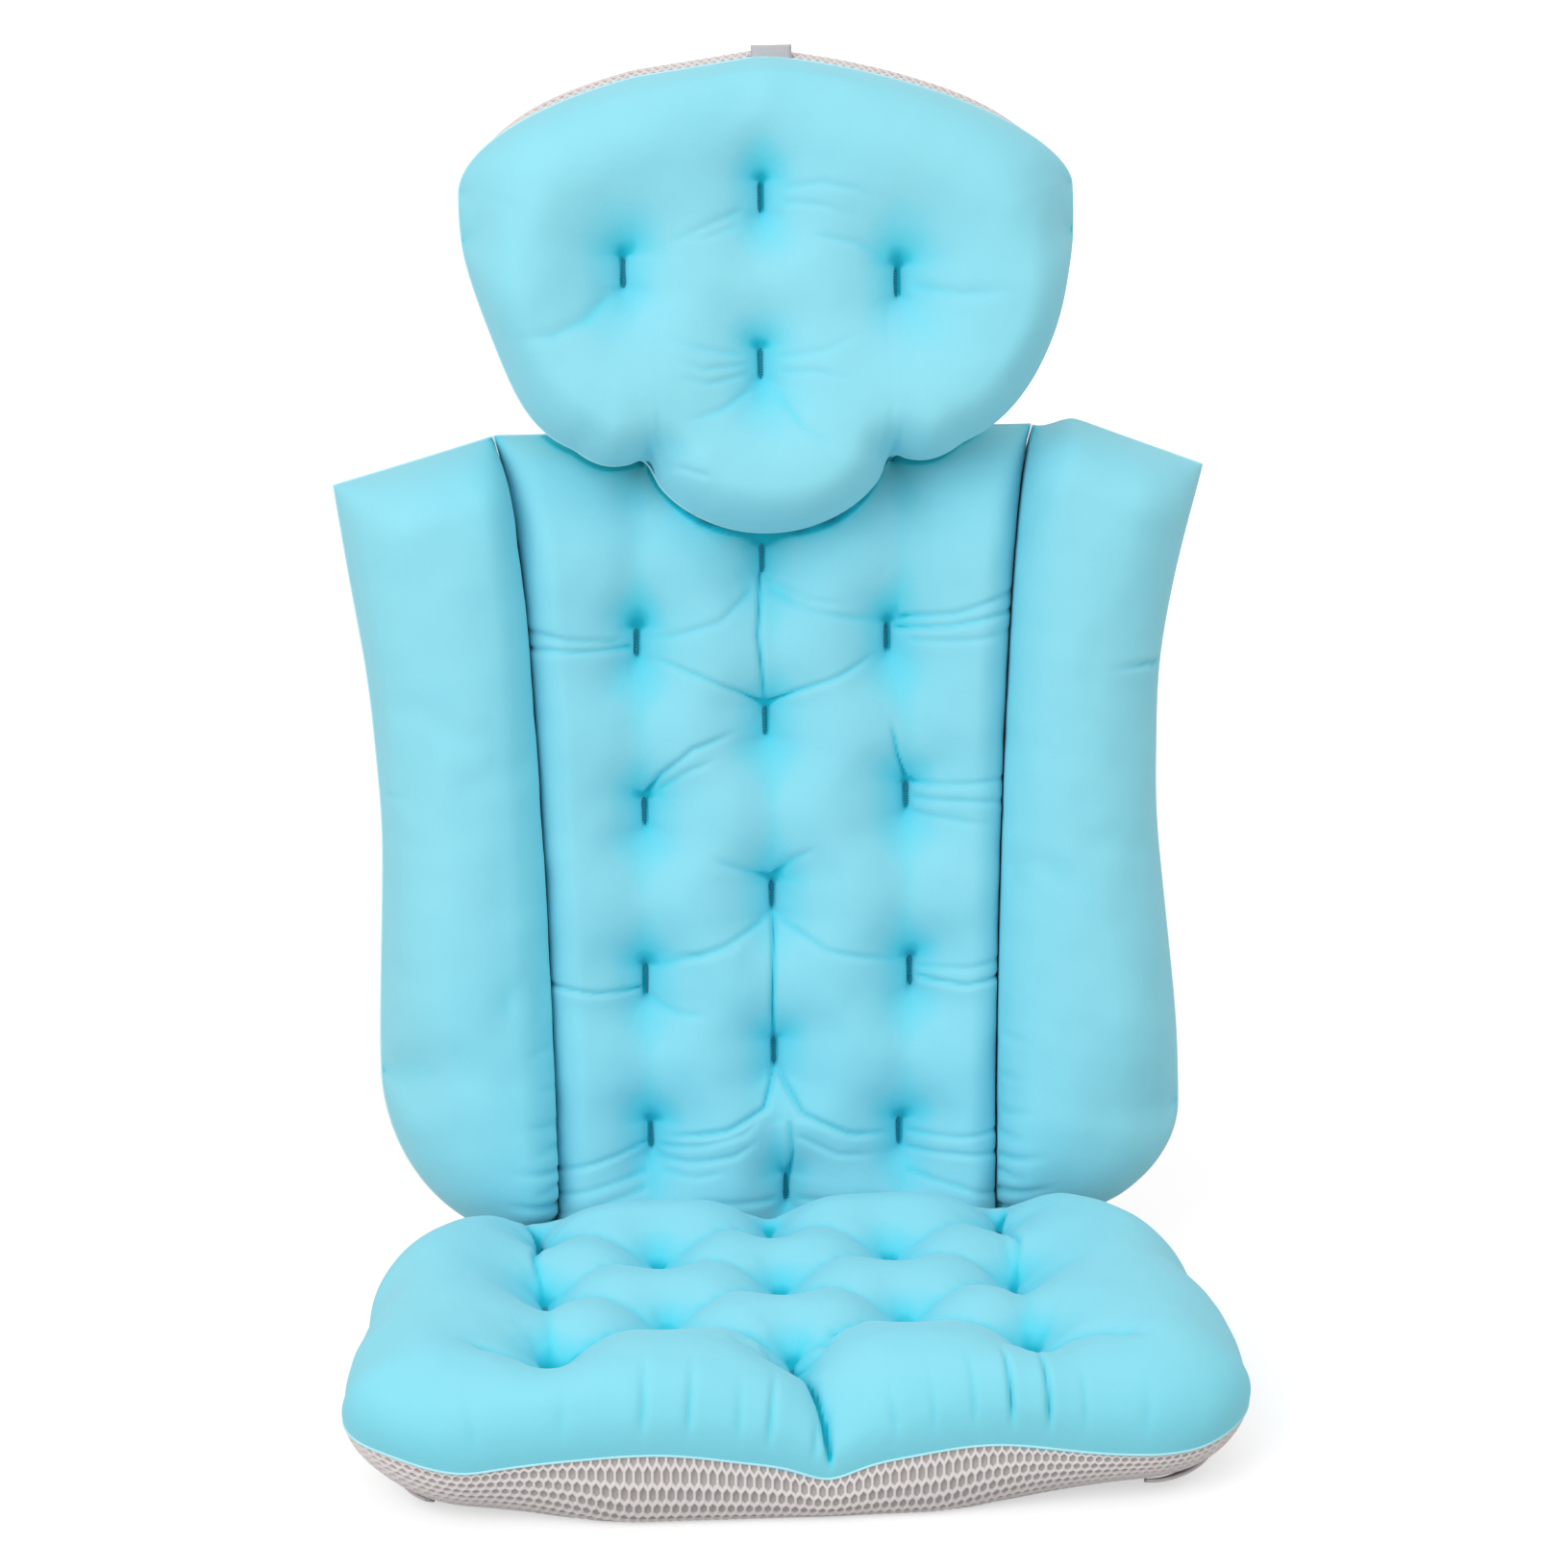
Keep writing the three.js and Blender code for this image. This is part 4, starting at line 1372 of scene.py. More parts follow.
@dataclass
class BackPanel(Cushion):
    """The tufted panel behind the seat.

    Attributes:
        height: from the fold to the top.
        top: width at the top.
        bottom: width at the fold.
        rim: how far the cloth stops short of the wing seams.
        bulge: how far the side walls swell towards the wings.
        head: the head pillow that rests on it.
    """

    height: float = PANEL_HEIGHT
    top: float = 208.0
    bottom: float = 184.0
    rim: float = 0.6
    bulge: float = 2.0
    head: "Head | None" = None

    def bounds(self) -> tuple[Point, Point]:
        """Return the lowest and highest grid lines across and along."""
        return (-1.0, 1.0), (END_GAP, self.height - END_GAP)

    def edge(self, along: Array) -> Array:
        """Return half the panel's width at its wing seams."""
        straight = (self.bottom + (self.top - self.bottom) * along / self.height) / 2
        return straight + seam_flare(along, self.height)

    def overhang(self, plan: Array, height: Array) -> Array:
        """Return how far the side walls bulge towards the wings.

        Args:
            plan: points of the plan.
            height: heights of the cloth above the seam.

        Returns:
            Millimetres across and along at each point.
        """
        near = smooth(1 - (self.edge(plan[..., 1]) - np.abs(plan[..., 0])) / WALL_REACH)
        push = self.bulge * near * np.sin(np.pi * np.clip(height / self.crown, 0, 1)) * np.sign(plan[..., 0])
        return np.stack([push, np.zeros_like(push)], axis=-1)

    def clear(self, local: Array) -> Array:
        """Return local points kept on the panel's side of its wing seams.

        Args:
            local: local points of the cloth.

        Returns:
            The points, clear of the wings and of the head.
        """
        limit = self.edge(local[..., 1]) - SEAM_GAP - np.maximum(local[..., 2], 0) * WALL_LEAN
        held = np.clip(local[..., 0], -limit, limit)
        down = self.height - local[..., 1]
        under = smooth(0.45 - (self.head.scallops(held) + down) / 9)
        roof = self.head.base - 1.2 + down * WALL_LEAN + 40 * (1 - under) ** 2
        return np.stack([held, local[..., 1], np.minimum(local[..., 2], roof)], axis=-1)

    def painted_shade(self, points: Array, plan: Array) -> Array:
        """Return the painted shade at each point, deepest in a band of painted shadow where the head rests on
        the panel.

        Args:
            points: local points of the cloth.
            plan: their places on the plan.

        Returns:
            The painted shade at each point, from 0 to 1.
        """
        below = np.maximum(self.height + self.head.scallops(plan[..., 0]) - plan[..., 1] - 1.5, 0)
        # Painted shadow under the head's lower edge: a narrow dark band and a wider soft one
        shade_amount = super().painted_shade(points, plan) + 0.9 * np.exp(-below / 1.6)
        return np.clip(shade_amount + 0.22 * np.exp(-below / 14), 0, 1)

    def scales(self) -> Point:
        """Return the millimetres to one unit of the grid lines across and along."""
        return (self.top + self.bottom) / 4, 1.0

    def outline(self) -> tuple[Array, Array]:
        """Return the grid lines across and along the panel at the cloth's step.

        Returns:
            Lines across and lines along.
        """
        wide = self.scales()[0]
        across = even_lines(-wide, wide, (15, 15), self.crown, self.step) / wide
        along = even_lines(*self.bounds()[1], (30, 40), self.crown, self.step)
        return across, along

    def plan(self, across: Array, along: Array) -> Array:
        """Return the plan points of grid lines' crossings, wider at the top."""
        return np.stack([across * (self.edge(along) - self.rim), along], axis=-1)


@dataclass
class Wing(Cushion):
    """A smooth bolster sewn along one side of the panel.

    Attributes:
        width: width that its points are spaced for.
        edge_rows: heights at which the outer edge is given.
        edge_out: how far out the edge is there.
        foot: height of the foot over the fold.
        foot_round: rise of the foot's round to the outer edge.
        top_rise: step of the top beside the panel.
        top_slope: fall of the top to the outer edge.
        height: height of the panel beside it.
        rim: how far the cloth stops short of the seam.
        lean_in: how far the inner wall leans over the panel.
    """

    width: float = 72.0
    edge_rows: tuple[float, ...] = (0.0, PANEL_HEIGHT)
    edge_out: tuple[float, ...] = (72.0, 72.0)
    foot: float = 14.0
    foot_round: float = 60.0
    top_rise: float = 0.0
    top_slope: float = 15.0
    height: float = PANEL_HEIGHT
    rim: float = 0.6
    lean_in: float = 3.0
    lid: Lid = Lid.LINING

    def bounds(self) -> tuple[Point, Point]:
        """Return the lowest and highest grid lines across and along."""
        return (-1.0, 1.0), (-1.0, 1.0)

    def scales(self) -> Point:
        """Return the millimetres to one unit of the grid lines across and along."""
        return self.width / 2, (self.height - self.foot) / 2

    def outline(self) -> tuple[Array, Array]:
        """Return the grid lines across and along the wing at the cloth's step.

        Returns:
            Lines across and lines along.
        """
        wide, tall = self.scales()
        across = even_lines(-wide, wide, (17, 26), self.crown, self.step) / wide
        along = even_lines(-tall, tall, (40, 24), self.crown, self.step) / tall
        return across, along

    def plan(self, across: Array, along: Array) -> Array:
        """Return the plan points of grid lines' crossings, waisted, round at the foot and pointed at the top.

        Args:
            across: grid lines across.
            along: grid lines along.

        Returns:
            Plan points in millimetres.
        """
        out, up = (across + 1) / 2, (along + 1) / 2
        low = self.foot + self.foot_round * 0.95 * corner_drop(out)
        high = self.height - END_GAP + self.top_rise * smooth(out * 4) - self.top_slope * out
        v = low + (high - low) * up
        inner = self.rim + seam_flare(v, self.height)
        steps = np.arange(-60, self.height + 61)
        outer = blur(np.interp(steps, self.edge_rows, self.edge_out)[:, None], 14)[:, 0]
        return np.stack([inner + (np.interp(v, steps, outer) - inner) * out, v], axis=-1)

    def overhang(self, plan: Array, height: Array) -> Array:
        """Return how far the inner wall leans over the panel.

        Args:
            plan: points of the plan.
            height: heights of the cloth above the seam.

        Returns:
            Millimetres across and along at each point.
        """
        near = smooth(1 - (plan[..., 0] - seam_flare(plan[..., 1], self.height)) / WALL_REACH)
        lean = -self.lean_in * near * np.sin(np.pi / 2 * np.clip(height / self.crown, 0, 1))
        return np.stack([lean, np.zeros_like(lean)], axis=-1)

    def clear(self, local: Array) -> Array:
        """Return local points kept on the wing's side of its seam."""
        limit = seam_flare(local[..., 1], self.height) + SEAM_GAP + np.maximum(local[..., 2], 0) * WALL_LEAN
        return np.concatenate([np.maximum(local[..., 0], limit)[..., None], local[..., 1:]], axis=-1)


@dataclass
class Head(Cushion):
    """The cloud-shaped head pillow, with three scallops over the panel's top.

    Attributes:
        half: half its width.
        rise: height over the panel's top.
        peak: where its roof is highest, across.
        pitch: fall of the roof to the left and to the right.
        side_level: share of the rise at the middle of its sides.
        side_half: half the height of its sides.
        lobe_drop: how far the middle scallop hangs below the panel's top.
        lobe_half: half the width of that scallop.
        notch: how far the notches beside it lie below the panel's top.
    """

    half: float = 120.0
    rise: float = 147.0
    peak: float = 4.5
    pitch: Point = (0.15, 0.2)
    side_level: float = 0.59
    side_half: float = 9.0
    lobe_drop: float = 40.0
    lobe_half: float = 48.0
    notch: float = 9.0

    def bounds(self) -> tuple[Point, Point]:
        """Return the lowest and highest grid lines across and along."""
        return (-self.half, self.half), (-1.0, 1.0)

    def scales(self) -> Point:
        """Return the millimetres to one unit of the grid lines across and along."""
        return 1.0, (self.rise + self.lobe_drop) / 2

    def outline(self) -> tuple[Array, Array]:
        """Return the grid lines across and along the head at the cloth's step.

        Returns:
            Lines across and lines along.
        """
        tall = self.scales()[1]
        across = even_lines(-self.half, self.half, (36, 36), self.crown, self.step)
        along = even_lines(-tall, tall, (22, 36), self.crown, self.step) / tall
        return across, along

    def scallops(self, across: Array) -> Array:
        """Return where the head ends below: a lobe between two scallops.

        Args:
            across: distances across from the middle.

        Returns:
            Heights over the panel's top, mostly negative.
        """
        foot = self.rise * self.side_level - self.side_half
        inside = np.clip(np.abs(across) / self.lobe_half, 0, 1)
        lobe = -self.notch - (self.lobe_drop - self.notch) * np.sqrt(1 - inside**2) ** 1.2
        past = np.clip((np.abs(across) - self.lobe_half) / (self.half - self.lobe_half), 0, 1)
        scallop = -0.4 * self.notch * np.sin(np.pi * np.minimum(1, past * 2.4))
        climb = 1 - (1 - past**3) ** 0.6
        outer = -self.notch + scallop + (foot + self.notch) * climb
        return np.where(np.abs(across) < self.lobe_half, lobe, outer)

    def plan(self, across: Array, along: Array) -> Array:
        """Return the plan points of grid lines' crossings between the roof and the scallops.

        Args:
            across: grid lines across.
            along: grid lines along.

        Returns:
            Plan points in millimetres.
        """
        far = np.clip(np.abs(across) / self.half, 0, 1)
        level = self.rise * self.side_level + self.side_half
        left = across < 0
        drop = np.where(left, far**1.6, far**1.4)
        arch = level + (self.rise - level) * (1 - drop) ** np.where(left, 0.53, 0.56)
        slope = np.where(across < self.peak, self.pitch[0], self.pitch[1])
        top = np.minimum(arch, self.rise + 1.0 - slope * np.abs(across - self.peak))
        bottom = self.scallops(across)
        v = bottom + (top - bottom) * (along + 1) / 2
        lean = np.where(left, 6.0, 2.0) * smooth(1 - np.abs(v - 30) / 60) * far**2
        lean = lean + np.where(left, 0.0, 1.6) * smooth(1 - np.abs(v - 88) / 36) * far**4
        return np.stack([across + lean, v], axis=-1)

    def seam_shift(self, plan: Array) -> Array:
        """Return how far the seam is drawn back to the panel along the scallops."""
        near = np.exp(-((distance_to(self.sides()["south"], plan)[0] / 20) ** 2))
        return -9.0 * near * smooth((70 - plan[..., 1]) / 50)

    def painted_shade(self, points: Array, plan: Array) -> Array:
        """Return the painted shade at each point, with almost none beside the notches between the scallops.
        """
        gap = np.hypot(np.abs(plan[..., 0]) - self.lobe_half, plan[..., 1] + self.notch)
        return super().painted_shade(points, plan) * (1 - 0.9 * np.exp(-((gap / 20) ** 2)))

    def mesh_bulge(self, plan: Array, depth: Array) -> Array:
        """Return how far the mesh stands up behind the roof."""
        rise = 5.0 * np.sin(np.pi * depth) * smooth((plan[..., 1] - 104) / 25)
        return np.stack([np.zeros_like(rise), rise], axis=-1)


# Cloth simulation


@dataclass
class Swelling:
    """Inflates the cut covers between their seams and tufts, with Blender's cloth settings."""

    pressure: float = 4.0
    slack: float = -0.008
    frames: int = 18
    mass: float = 0.12
    air_damping: float = 2.0
    tension: float = 14.0
    shear: float = 5.0
    bending: float = 0.25

    def pin(self, cushion: Cushion) -> bpy.types.Object:
        """Return a cover ready to inflate, held at its seam and tufts.

        Args:
            cushion: the cushion, laid out.

        Returns:
            The cover, with its cloth settings.
        """
        made = sheet_piece(f"{cushion.title}_swell", cushion.local * MM)
        group = made.vertex_groups.new(name="held")
        group.add(cushion.held_points(cushion.flat), 1.0, "REPLACE")
        cloth = made.modifiers.new("stuffing", "CLOTH")
        settings = cloth.settings
        settings.quality = 6
        settings.mass = self.mass
        settings.air_damping = self.air_damping
        settings.tension_stiffness = settings.compression_stiffness = self.tension
        settings.shear_stiffness = self.shear
        settings.bending_stiffness = self.bending
        settings.use_pressure = True
        settings.uniform_pressure_force = self.pressure
        settings.vertex_group_mass = group.name
        settings.shrink_min = self.slack
        settings.effector_weights.gravity = 0.0
        cloth.collision_settings.use_collision = False
        cloth.point_cache.frame_start = 1
        cloth.point_cache.frame_end = self.frames
        return made

    def run(self, cushions: list[Cushion]) -> None:
        """Inflate every cover and keep its new points, no further than each one's cap.

        Args:
            cushions: the cushions, laid out.
        """
        covers = [self.pin(cushion) for cushion in cushions]
        scene = bpy.context.scene
        for number in range(1, self.frames + 1):
            scene.frame_set(number)
        graph = bpy.context.evaluated_depsgraph_get()
        for cushion, cover in zip(cushions, covers):
            swelled = np.empty(cushion.local.size, np.float32)
            cover.evaluated_get(graph).data.vertices.foreach_get("co", swelled)
            moved = swelled.reshape(cushion.local.shape).astype(float) / MM - cushion.local
            moved = blur(moved, 1)
            length = np.linalg.norm(moved, axis=-1, keepdims=True)
            LOG.info("%s swelled by %.1f mm at most, %.1f mm on average", cushion.title, length.max(),
                     length.mean())
            free = cushion.free_share()[..., None]
            cushion.local = cushion.clear(
                cushion.local + free * moved * np.minimum(1, cushion.cap / np.maximum(length, 1e-9)))
        scene.frame_set(1)
        for cover in covers:
            bpy.data.objects.remove(cover)


# The pillow's pieces in order


@dataclass(frozen=True)
class WingCut:
    """What sets one wing apart from the other."""

    body: Body
    foot_round: float
    foot_shoulder: float
    top_rise: float
    top_slope: float
    seam_shade: Point
    edge_out: tuple[float, ...]
    crease: Stroke


WING_CUTS = {
    Side.LEFT: WingCut(Body.LEFT, foot_round=82.0, foot_shoulder=42.0, top_rise=0.0, top_slope=15.0,
                       seam_shade=(0.42, 9.0), edge_out=(66, 65, 58, 60, 65, 71),
                       crease=Stroke(((62, 206), (48, 208)), 0.6, 1.6, 0.5, (0.02, 0.8))),
    Side.RIGHT: WingCut(Body.RIGHT, foot_round=58.0, foot_shoulder=54.0, top_rise=8.0, top_slope=22.0,
                        seam_shade=(0.22, 6.0), edge_out=(75, 71, 59, 58, 64, 77),
                        crease=Stroke(((66, 252), (52, 254), (34, 253)), 1.5, 1.2, 0.5, (0.02, 0.7))),
}


def hinge(name: str) -> Vector:
    """Return where a joint turns, in the part's frame."""
    return Vector(next(joint["pos_m"] for joint in frame["joints"] if joint["name"] == name))


@dataclass
class Pillow:
    """The whole pillow: five cushions, two strips, three tabs and two wing seams.

    Attributes:
        recline: degrees that the panel leans back.
        pitch: degrees that a wing turns forward on its seam.
        lean: degrees that a wing seam leans out.
        tilt: degrees between the head and the panel.
        stand: how far the head's mesh stands off the neck.
        strip_depth: depth of the cells in the mesh strips.
    """

    recline: float = 10.0
    pitch: float = 6.0
    lean: float = math.degrees(math.atan(12 / PANEL_HEIGHT))
    tilt: float = 3.0
    stand: float = 17.8
    strip_depth: float = 0.7

    def seat(self) -> Seat:
        """Return the seat.

        Returns:
            The seat, with its tufts, valleys and creases.
        """
        columns, rows = (-98.0, -52.0, -6.0, 40.0, 86.0), (66.0, 40.0, 13.0, -17.0, -46.0)
        tufts = tuple((u, v) for k, v in enumerate(rows) for u in columns[k % 2::2])
        apart = columns[1] - columns[0]
        # Valleys from each tuft to its neighbours in the next row
        valleys = []
        for u, v in tufts:
            for other in tufts:
                if abs(other[0] - u) == apart and 0 < v - other[1] < 40:
                    valleys.append(valley(((u, v), other), 10.5 if other[1] < -30 else 6.5))
        # Valleys down the outer columns, and out to the front and the sides
        for u in (columns[0], columns[4]):
            valleys += [valley(((u, v), (u, v - 56)), 7.0) for v in (66, 10)]
        valleys += [
            valley(((-6, -46), (-1, -62), (3, -78), (5, -90)), 16.0, 10.0),
            valley(((-98, -46), (-122, -50), (-140, -47)), 6.0, fade=0.6),
            valley(((86, -46), (112, -54), (134, -66)), 7.0, fade=0.5),
            valley(((-98, 13), (-124, 8)), 5.0, 9.0, 0.7),
            valley(((86, 13), (118, 6)), 5.0, 9.0, 0.7),
            Stroke(((-6, 66), (-4, 90)), 4.0, 6.0, 0.1, (0.01, 0.2)),
        ]
        # Creases: the front cleft, the gathers along the front seam, and folds that start at tufts
        creases = [Stroke(((-5, -50), (-1, -64), (3, -78), (5, -90)), 3.2, 1.3, 0.1, (0.2, 0.01))]
        creases += [Stroke(((u, -90), (u + lean, top)), depth, width, 0.5, (0.01, 0.8))
                    for u, lean, top, depth, width in (
                        (-126, -3, -76, 0.5, 2.2), (-96, 2, -74, 0.5, 2.4), (-66, 3, -66, 1.1, 1.8),
                        (-49, 4, -67, 1.0, 1.6), (-30, 2, -72, 0.6, 1.6), (-19, 5, -66, 1.2, 1.4),
                        (-2, 3, -74, 0.9, 1.3), (30, -4, -74, 0.8, 1.6), (44, -2, -72, 0.6, 1.4),
                        (59, -2, -68, 0.8, 1.3), (73, -3, -62, 2.0, 1.1), (87, -3, -60, 2.0, 1.1),
                        (101, -2, -72, 0.6, 1.6), (122, 2, -76, 0.5, 2.0))]
        creases += [Stroke(points, depth, width, 0.5, (0.05, 0.6)) for points, depth, width in (
            (((88, -48), (108, -54), (128, -64)), 1.8, 1.6),
            (((-100, -48), (-118, -53), (-130, -52)), 1.3, 1.8),
            (((-52, -18), (-34, -30), (-18, -38)), 1.3, 1.6),
            (((40, -18), (24, -30), (8, -38)), 1.3, 1.6),
            (((-98, 64), (-101, 38), (-98, 16)), 1.6, 1.5),
            (((86, 64), (90, 38), (87, 16)), 1.6, 1.5),
            (((-98, 66), (-102, 76), (-104, 84)), 1.6, 1.4),
            (((86, 66), (90, 76), (92, 84)), 1.6, 1.4))]
        return Seat(
            title="seat", place=Place(Matrix.Identity(4)), riders=Riders(Body.SEAT), seam=24.0, base=0.0,
            crown=42.0, round=16.0,
            shoulders={"south": (34, 0.5), "north": (24, 0.5), "west": (36, 0.5), "east": (36, 0.5)},
            nodes={"cover": ("seat_top_cover", "seat_filling"), "mesh": ("seat_bottom_mesh",),
                   "tufts": numbered("seat", len(tufts))},
            tufts=tufts, tuft_floor=17.0, tuft_core=9.0, tuft_skirt=20.0, tuft_spread=0.2, tuft_slit=1.5,
            tuft_lit=0.0, tuft_pinch=2.5, valleys=tuple(valleys), creases=tuple(creases), fill=0.85, cap=5.0,
            step=3.9, seam_shade={"south": ((0.2, 14.0),)})

    def back_place(self) -> Matrix:
        """Return the panel's frame: its fold line, leaning back."""
        turn = Matrix.Rotation(math.radians(90 - self.recline), 4, "X")
        return Matrix.Translation(hinge("back_fold")) @ turn

    def seam_place(self, side: Side) -> Matrix:
        """Return the frame of one wing's seam, which leans out with the panel's edge."""
        offset = Matrix.Translation(hinge(f"{side.name.lower()}_wing_swing") - hinge("back_fold"))
        return offset @ self.back_place() @ Matrix.Rotation(-side.value * math.radians(self.lean), 4, "Z")

    def neck_place(self) -> Place:
        """Return the head's frame, at the panel's top."""
        top = Matrix.Translation((0, PANEL_HEIGHT * MM, 0))
        return Place(self.back_place() @ top @ Matrix.Rotation(-math.radians(self.tilt), 4, "X"))

    def back(self) -> BackPanel:
        """Return the back panel.

        Returns:
            The panel, with its tufts and creases.
        """
        place = Place(self.back_place())
        tufts = ((-49, 339), (51, 338), (-2, 295), (-53, 262), (48, 262), (-1.5, 229), (-51, 193), (55, 197),
                 (0, 157), (-52, 124), (56, 124), (0, 92), (-51, 59), (51, 57), (4, 35))
        valleys = [Stroke(((u, 336), (u, 25)), depth, 9.0, 0.15, (0.05, 0.05))
                   for u, depth in ((-52, 4.0), (0, 5.0), (53, 4.0))]
        both, above, below = Lobe.BOTH, Lobe.ABOVE, Lobe.BELOW
        # Line, depth and width of each fold, and where the cloth rolls up beside it
        fold = [
            (((-2.8, 291), (-4.8, 266), (-3.4, 249), (-2, 234)), 2.2, 1.2, both),
            (((-2, 236), (-12, 242.5), (-28, 250), (-50, 258)), 2.0, 1.2, below),
            (((-2, 236), (10, 242.5), (27, 248.7), (47, 258.6)), 2.0, 1.2, below),
            (((-6, 284), (-20, 272), (-39, 266), (-52, 264)), 1.3, 1.8, above),
            (((-1, 284), (16, 275), (35, 271), (47, 270)), 1.3, 1.8, above),
            (((-2, 288), (14, 280), (34, 277)), 0.9, 1.6, above),
            (((-55, 261), (-78, 261.6), (-104, 263)), 2.0, 1.2, below),
            (((-60, 264), (-82, 266.5), (-104, 272)), 1.4, 1.5, above),
            (((50, 266), (71, 268.5), (104, 275)), 1.9, 1.2, below),
            (((52, 271), (74, 273.5), (104, 284)), 1.4, 1.5, above),
            (((56, 262), (80, 263), (100, 266)), 0.9, 1.5, both),
            (((-51, 200), (-45, 210), (-32, 221), (-10, 228)), 1.8, 1.4, above),
            (((-46, 203), (-34, 212), (-20, 217)), 0.9, 1.5, both),
            (((55, 204), (51, 216), (47.5, 232)), 1.6, 1.2, both),
            (((57, 203), (74, 203.5), (97, 205)), 1.2, 1.5, both),
            (((57, 197), (75, 196.8), (97, 195)), 1.2, 1.4, both),
            (((57, 191), (72, 189), (90, 186)), 0.8, 1.5, both),
            (((0, 165), (-12, 170), (-28, 177)), 1.0, 1.8, both),
            (((0, 166), (8, 174), (18, 180)), 0.8, 1.8, both),
            (((-2, 149), (-20, 140), (-50, 130)), 1.6, 1.5, below),
            (((2, 149), (21, 137), (52, 130)), 1.7, 1.4, below),
            (((-14, 140), (-28, 136), (-44, 136)), 0.8, 1.5, both),
            (((0.5, 150), (-0.6, 132), (-1.2, 115), (0, 93)), 2.4, 1.2, both),
            (((-53, 121), (-72, 122), (-98, 127.5)), 2.2, 1.1, below),
            (((-54, 118), (-40, 112), (-26, 111)), 0.9, 1.6, both),
            (((58, 123), (77, 121), (98, 125)), 2.1, 1.1, below),
            (((58, 127), (78, 128), (96, 132)), 0.9, 1.5, above),
            (((0, 86), (-5, 71), (-21, 63.4), (-48, 59)), 2.8, 1.3, below),
            (((1, 86), (10, 69), (30, 60), (50, 57.5)), 2.8, 1.3, below),
            (((-48, 55), (-32, 57), (-14, 62), (-4, 70)), 1.5, 1.3, below),
            (((-50, 51), (-36, 50), (-18, 53), (-6, 60)), 1.5, 1.3, below),
            (((-48, 46), (-34, 44), (-20, 47)), 1.1, 1.4, below),
            (((8, 60), (24, 52), (44, 50)), 1.2, 1.5, below),
            (((5, 66), (6.5, 52), (5, 33)), 2.2, 1.2, both),
            (((-52, 57), (-70, 53), (-98, 46)), 1.8, 1.3, below),
            (((-51, 46), (-68, 43), (-97, 36)), 1.6, 1.4, below),
            (((-52, 40), (-70, 36), (-96, 27)), 1.3, 1.4, below),
            (((2, 31), (-30, 34), (-60, 29), (-92, 20)), 1.5, 1.6, below),
            (((53, 58), (74, 58), (98, 60)), 1.6, 1.3, below),
            (((53, 51), (74, 51), (98, 49)), 1.7, 1.3, below),
            (((52, 43), (72, 38), (96, 30)), 1.7, 1.3, below),
            (((6, 31), (40, 34), (66, 27), (92, 18)), 1.5, 1.6, below),
        ]
        # The folds near the foot are pressed in less
        creases = tuple(Stroke(points, (0.72 if points[0][1] > 70 else 0.55) * depth, 0.95 * width, 0.5,
                               (0.06, 0.35), lobe) for points, depth, width, lobe in fold)
        foot = np.array(hinge("back_fold"))
        return BackPanel(
            title="back", place=place,
            riders=Riders(Body.BACK, Body.SEAT, foot, foot + place.along() * 22 * MM),
            seam=9.0, base=-9.0, crown=36.0, round=12.0,
            shoulders={"south": (30, 0.5), "north": (64, 0.6), "west": (15, 0.5), "east": (15, 0.5)},
            nodes={"cover": ("back_front_cover", "back_filling"), "mesh": ("back_rear_mesh",),
                   "tufts": numbered("back", len(tufts))},
            tufts=tufts, tuft_floor=9.0, tuft_core=11.0, tuft_skirt=27.0, valleys=tuple(valleys),
            creases=creases, fill=0.75, cap=4.0, step=4.0, head=self.head(),
            seam_shade={"west": ((0.9, 1.8),), "east": ((0.9, 1.8),), "south": ((0.4, 14.0),)})

    def wing(self, side: Side) -> Wing:
        """Return the wing of one side.

        Args:
            side: the side.

        Returns:
            The wing, cut and creased for its side.
        """
        sign = side.value
        word = side.name.lower()
        cut = WING_CUTS[side]
        pitch = Matrix.Rotation(-sign * math.radians(self.pitch), 4, "Y")
        place = Place(self.seam_place(side) @ pitch, sign)
        out = place.points(np.array([[0.0, 0, 0], [30.0, 0, 0]]))
        # Height, reach, rise and depth of each gather at the seam's foot
        gathers = ((27, 20, 3, 1.3), (35, 26, 5, 1.4), (44, 14, -2, 1.0), (50, 22, 4, 1.2), (60, 12, -1, 0.9),
                   (69, 17, 3, 0.8), (84, 10, 1, 0.6), (101, 13, -2, 0.5))
        creases = [Stroke(((1, v), (0.4 * reach, v + 0.3 * rise), (reach, v + rise)), depth, 1.5, 0.5,
                          (0.02, 0.85)) for v, reach, rise, depth in gathers]
        return Wing(
            title=f"{word}_wing", place=place, riders=Riders(cut.body, Body.BACK, out[0], out[1]),
            seam=9.0, base=-9.0, crown=44.0, round=12.0,
            shoulders={"south": (cut.foot_shoulder, 0.5), "north": (24, 0.5), "west": (17, 0.5),
                       "east": (26, 0.5)},
            nodes={"cover": (f"{word}_wing_cover", f"{word}_wing_filling"), "mesh": (f"{word}_wing_mesh",)},
            creases=(*creases, cut.crease), fill=0.9, cap=3.0, unrest=0.25, step=3.3, refines=1,
            foot_round=cut.foot_round, top_rise=cut.top_rise, top_slope=cut.top_slope,
            seam_shade={"west": ((1.0, 2.0), cut.seam_shade)},
            edge_rows=(20, 100, 190, 250, 290, PANEL_HEIGHT), edge_out=cut.edge_out)

    def head(self) -> Head:
        """Return the head pillow.

        Returns:
            The head, with its tufts and creases.
        """
        tufts = ((-2.6, 92.5), (-57, 64.5), (50.5, 58.5), (-4, 28))
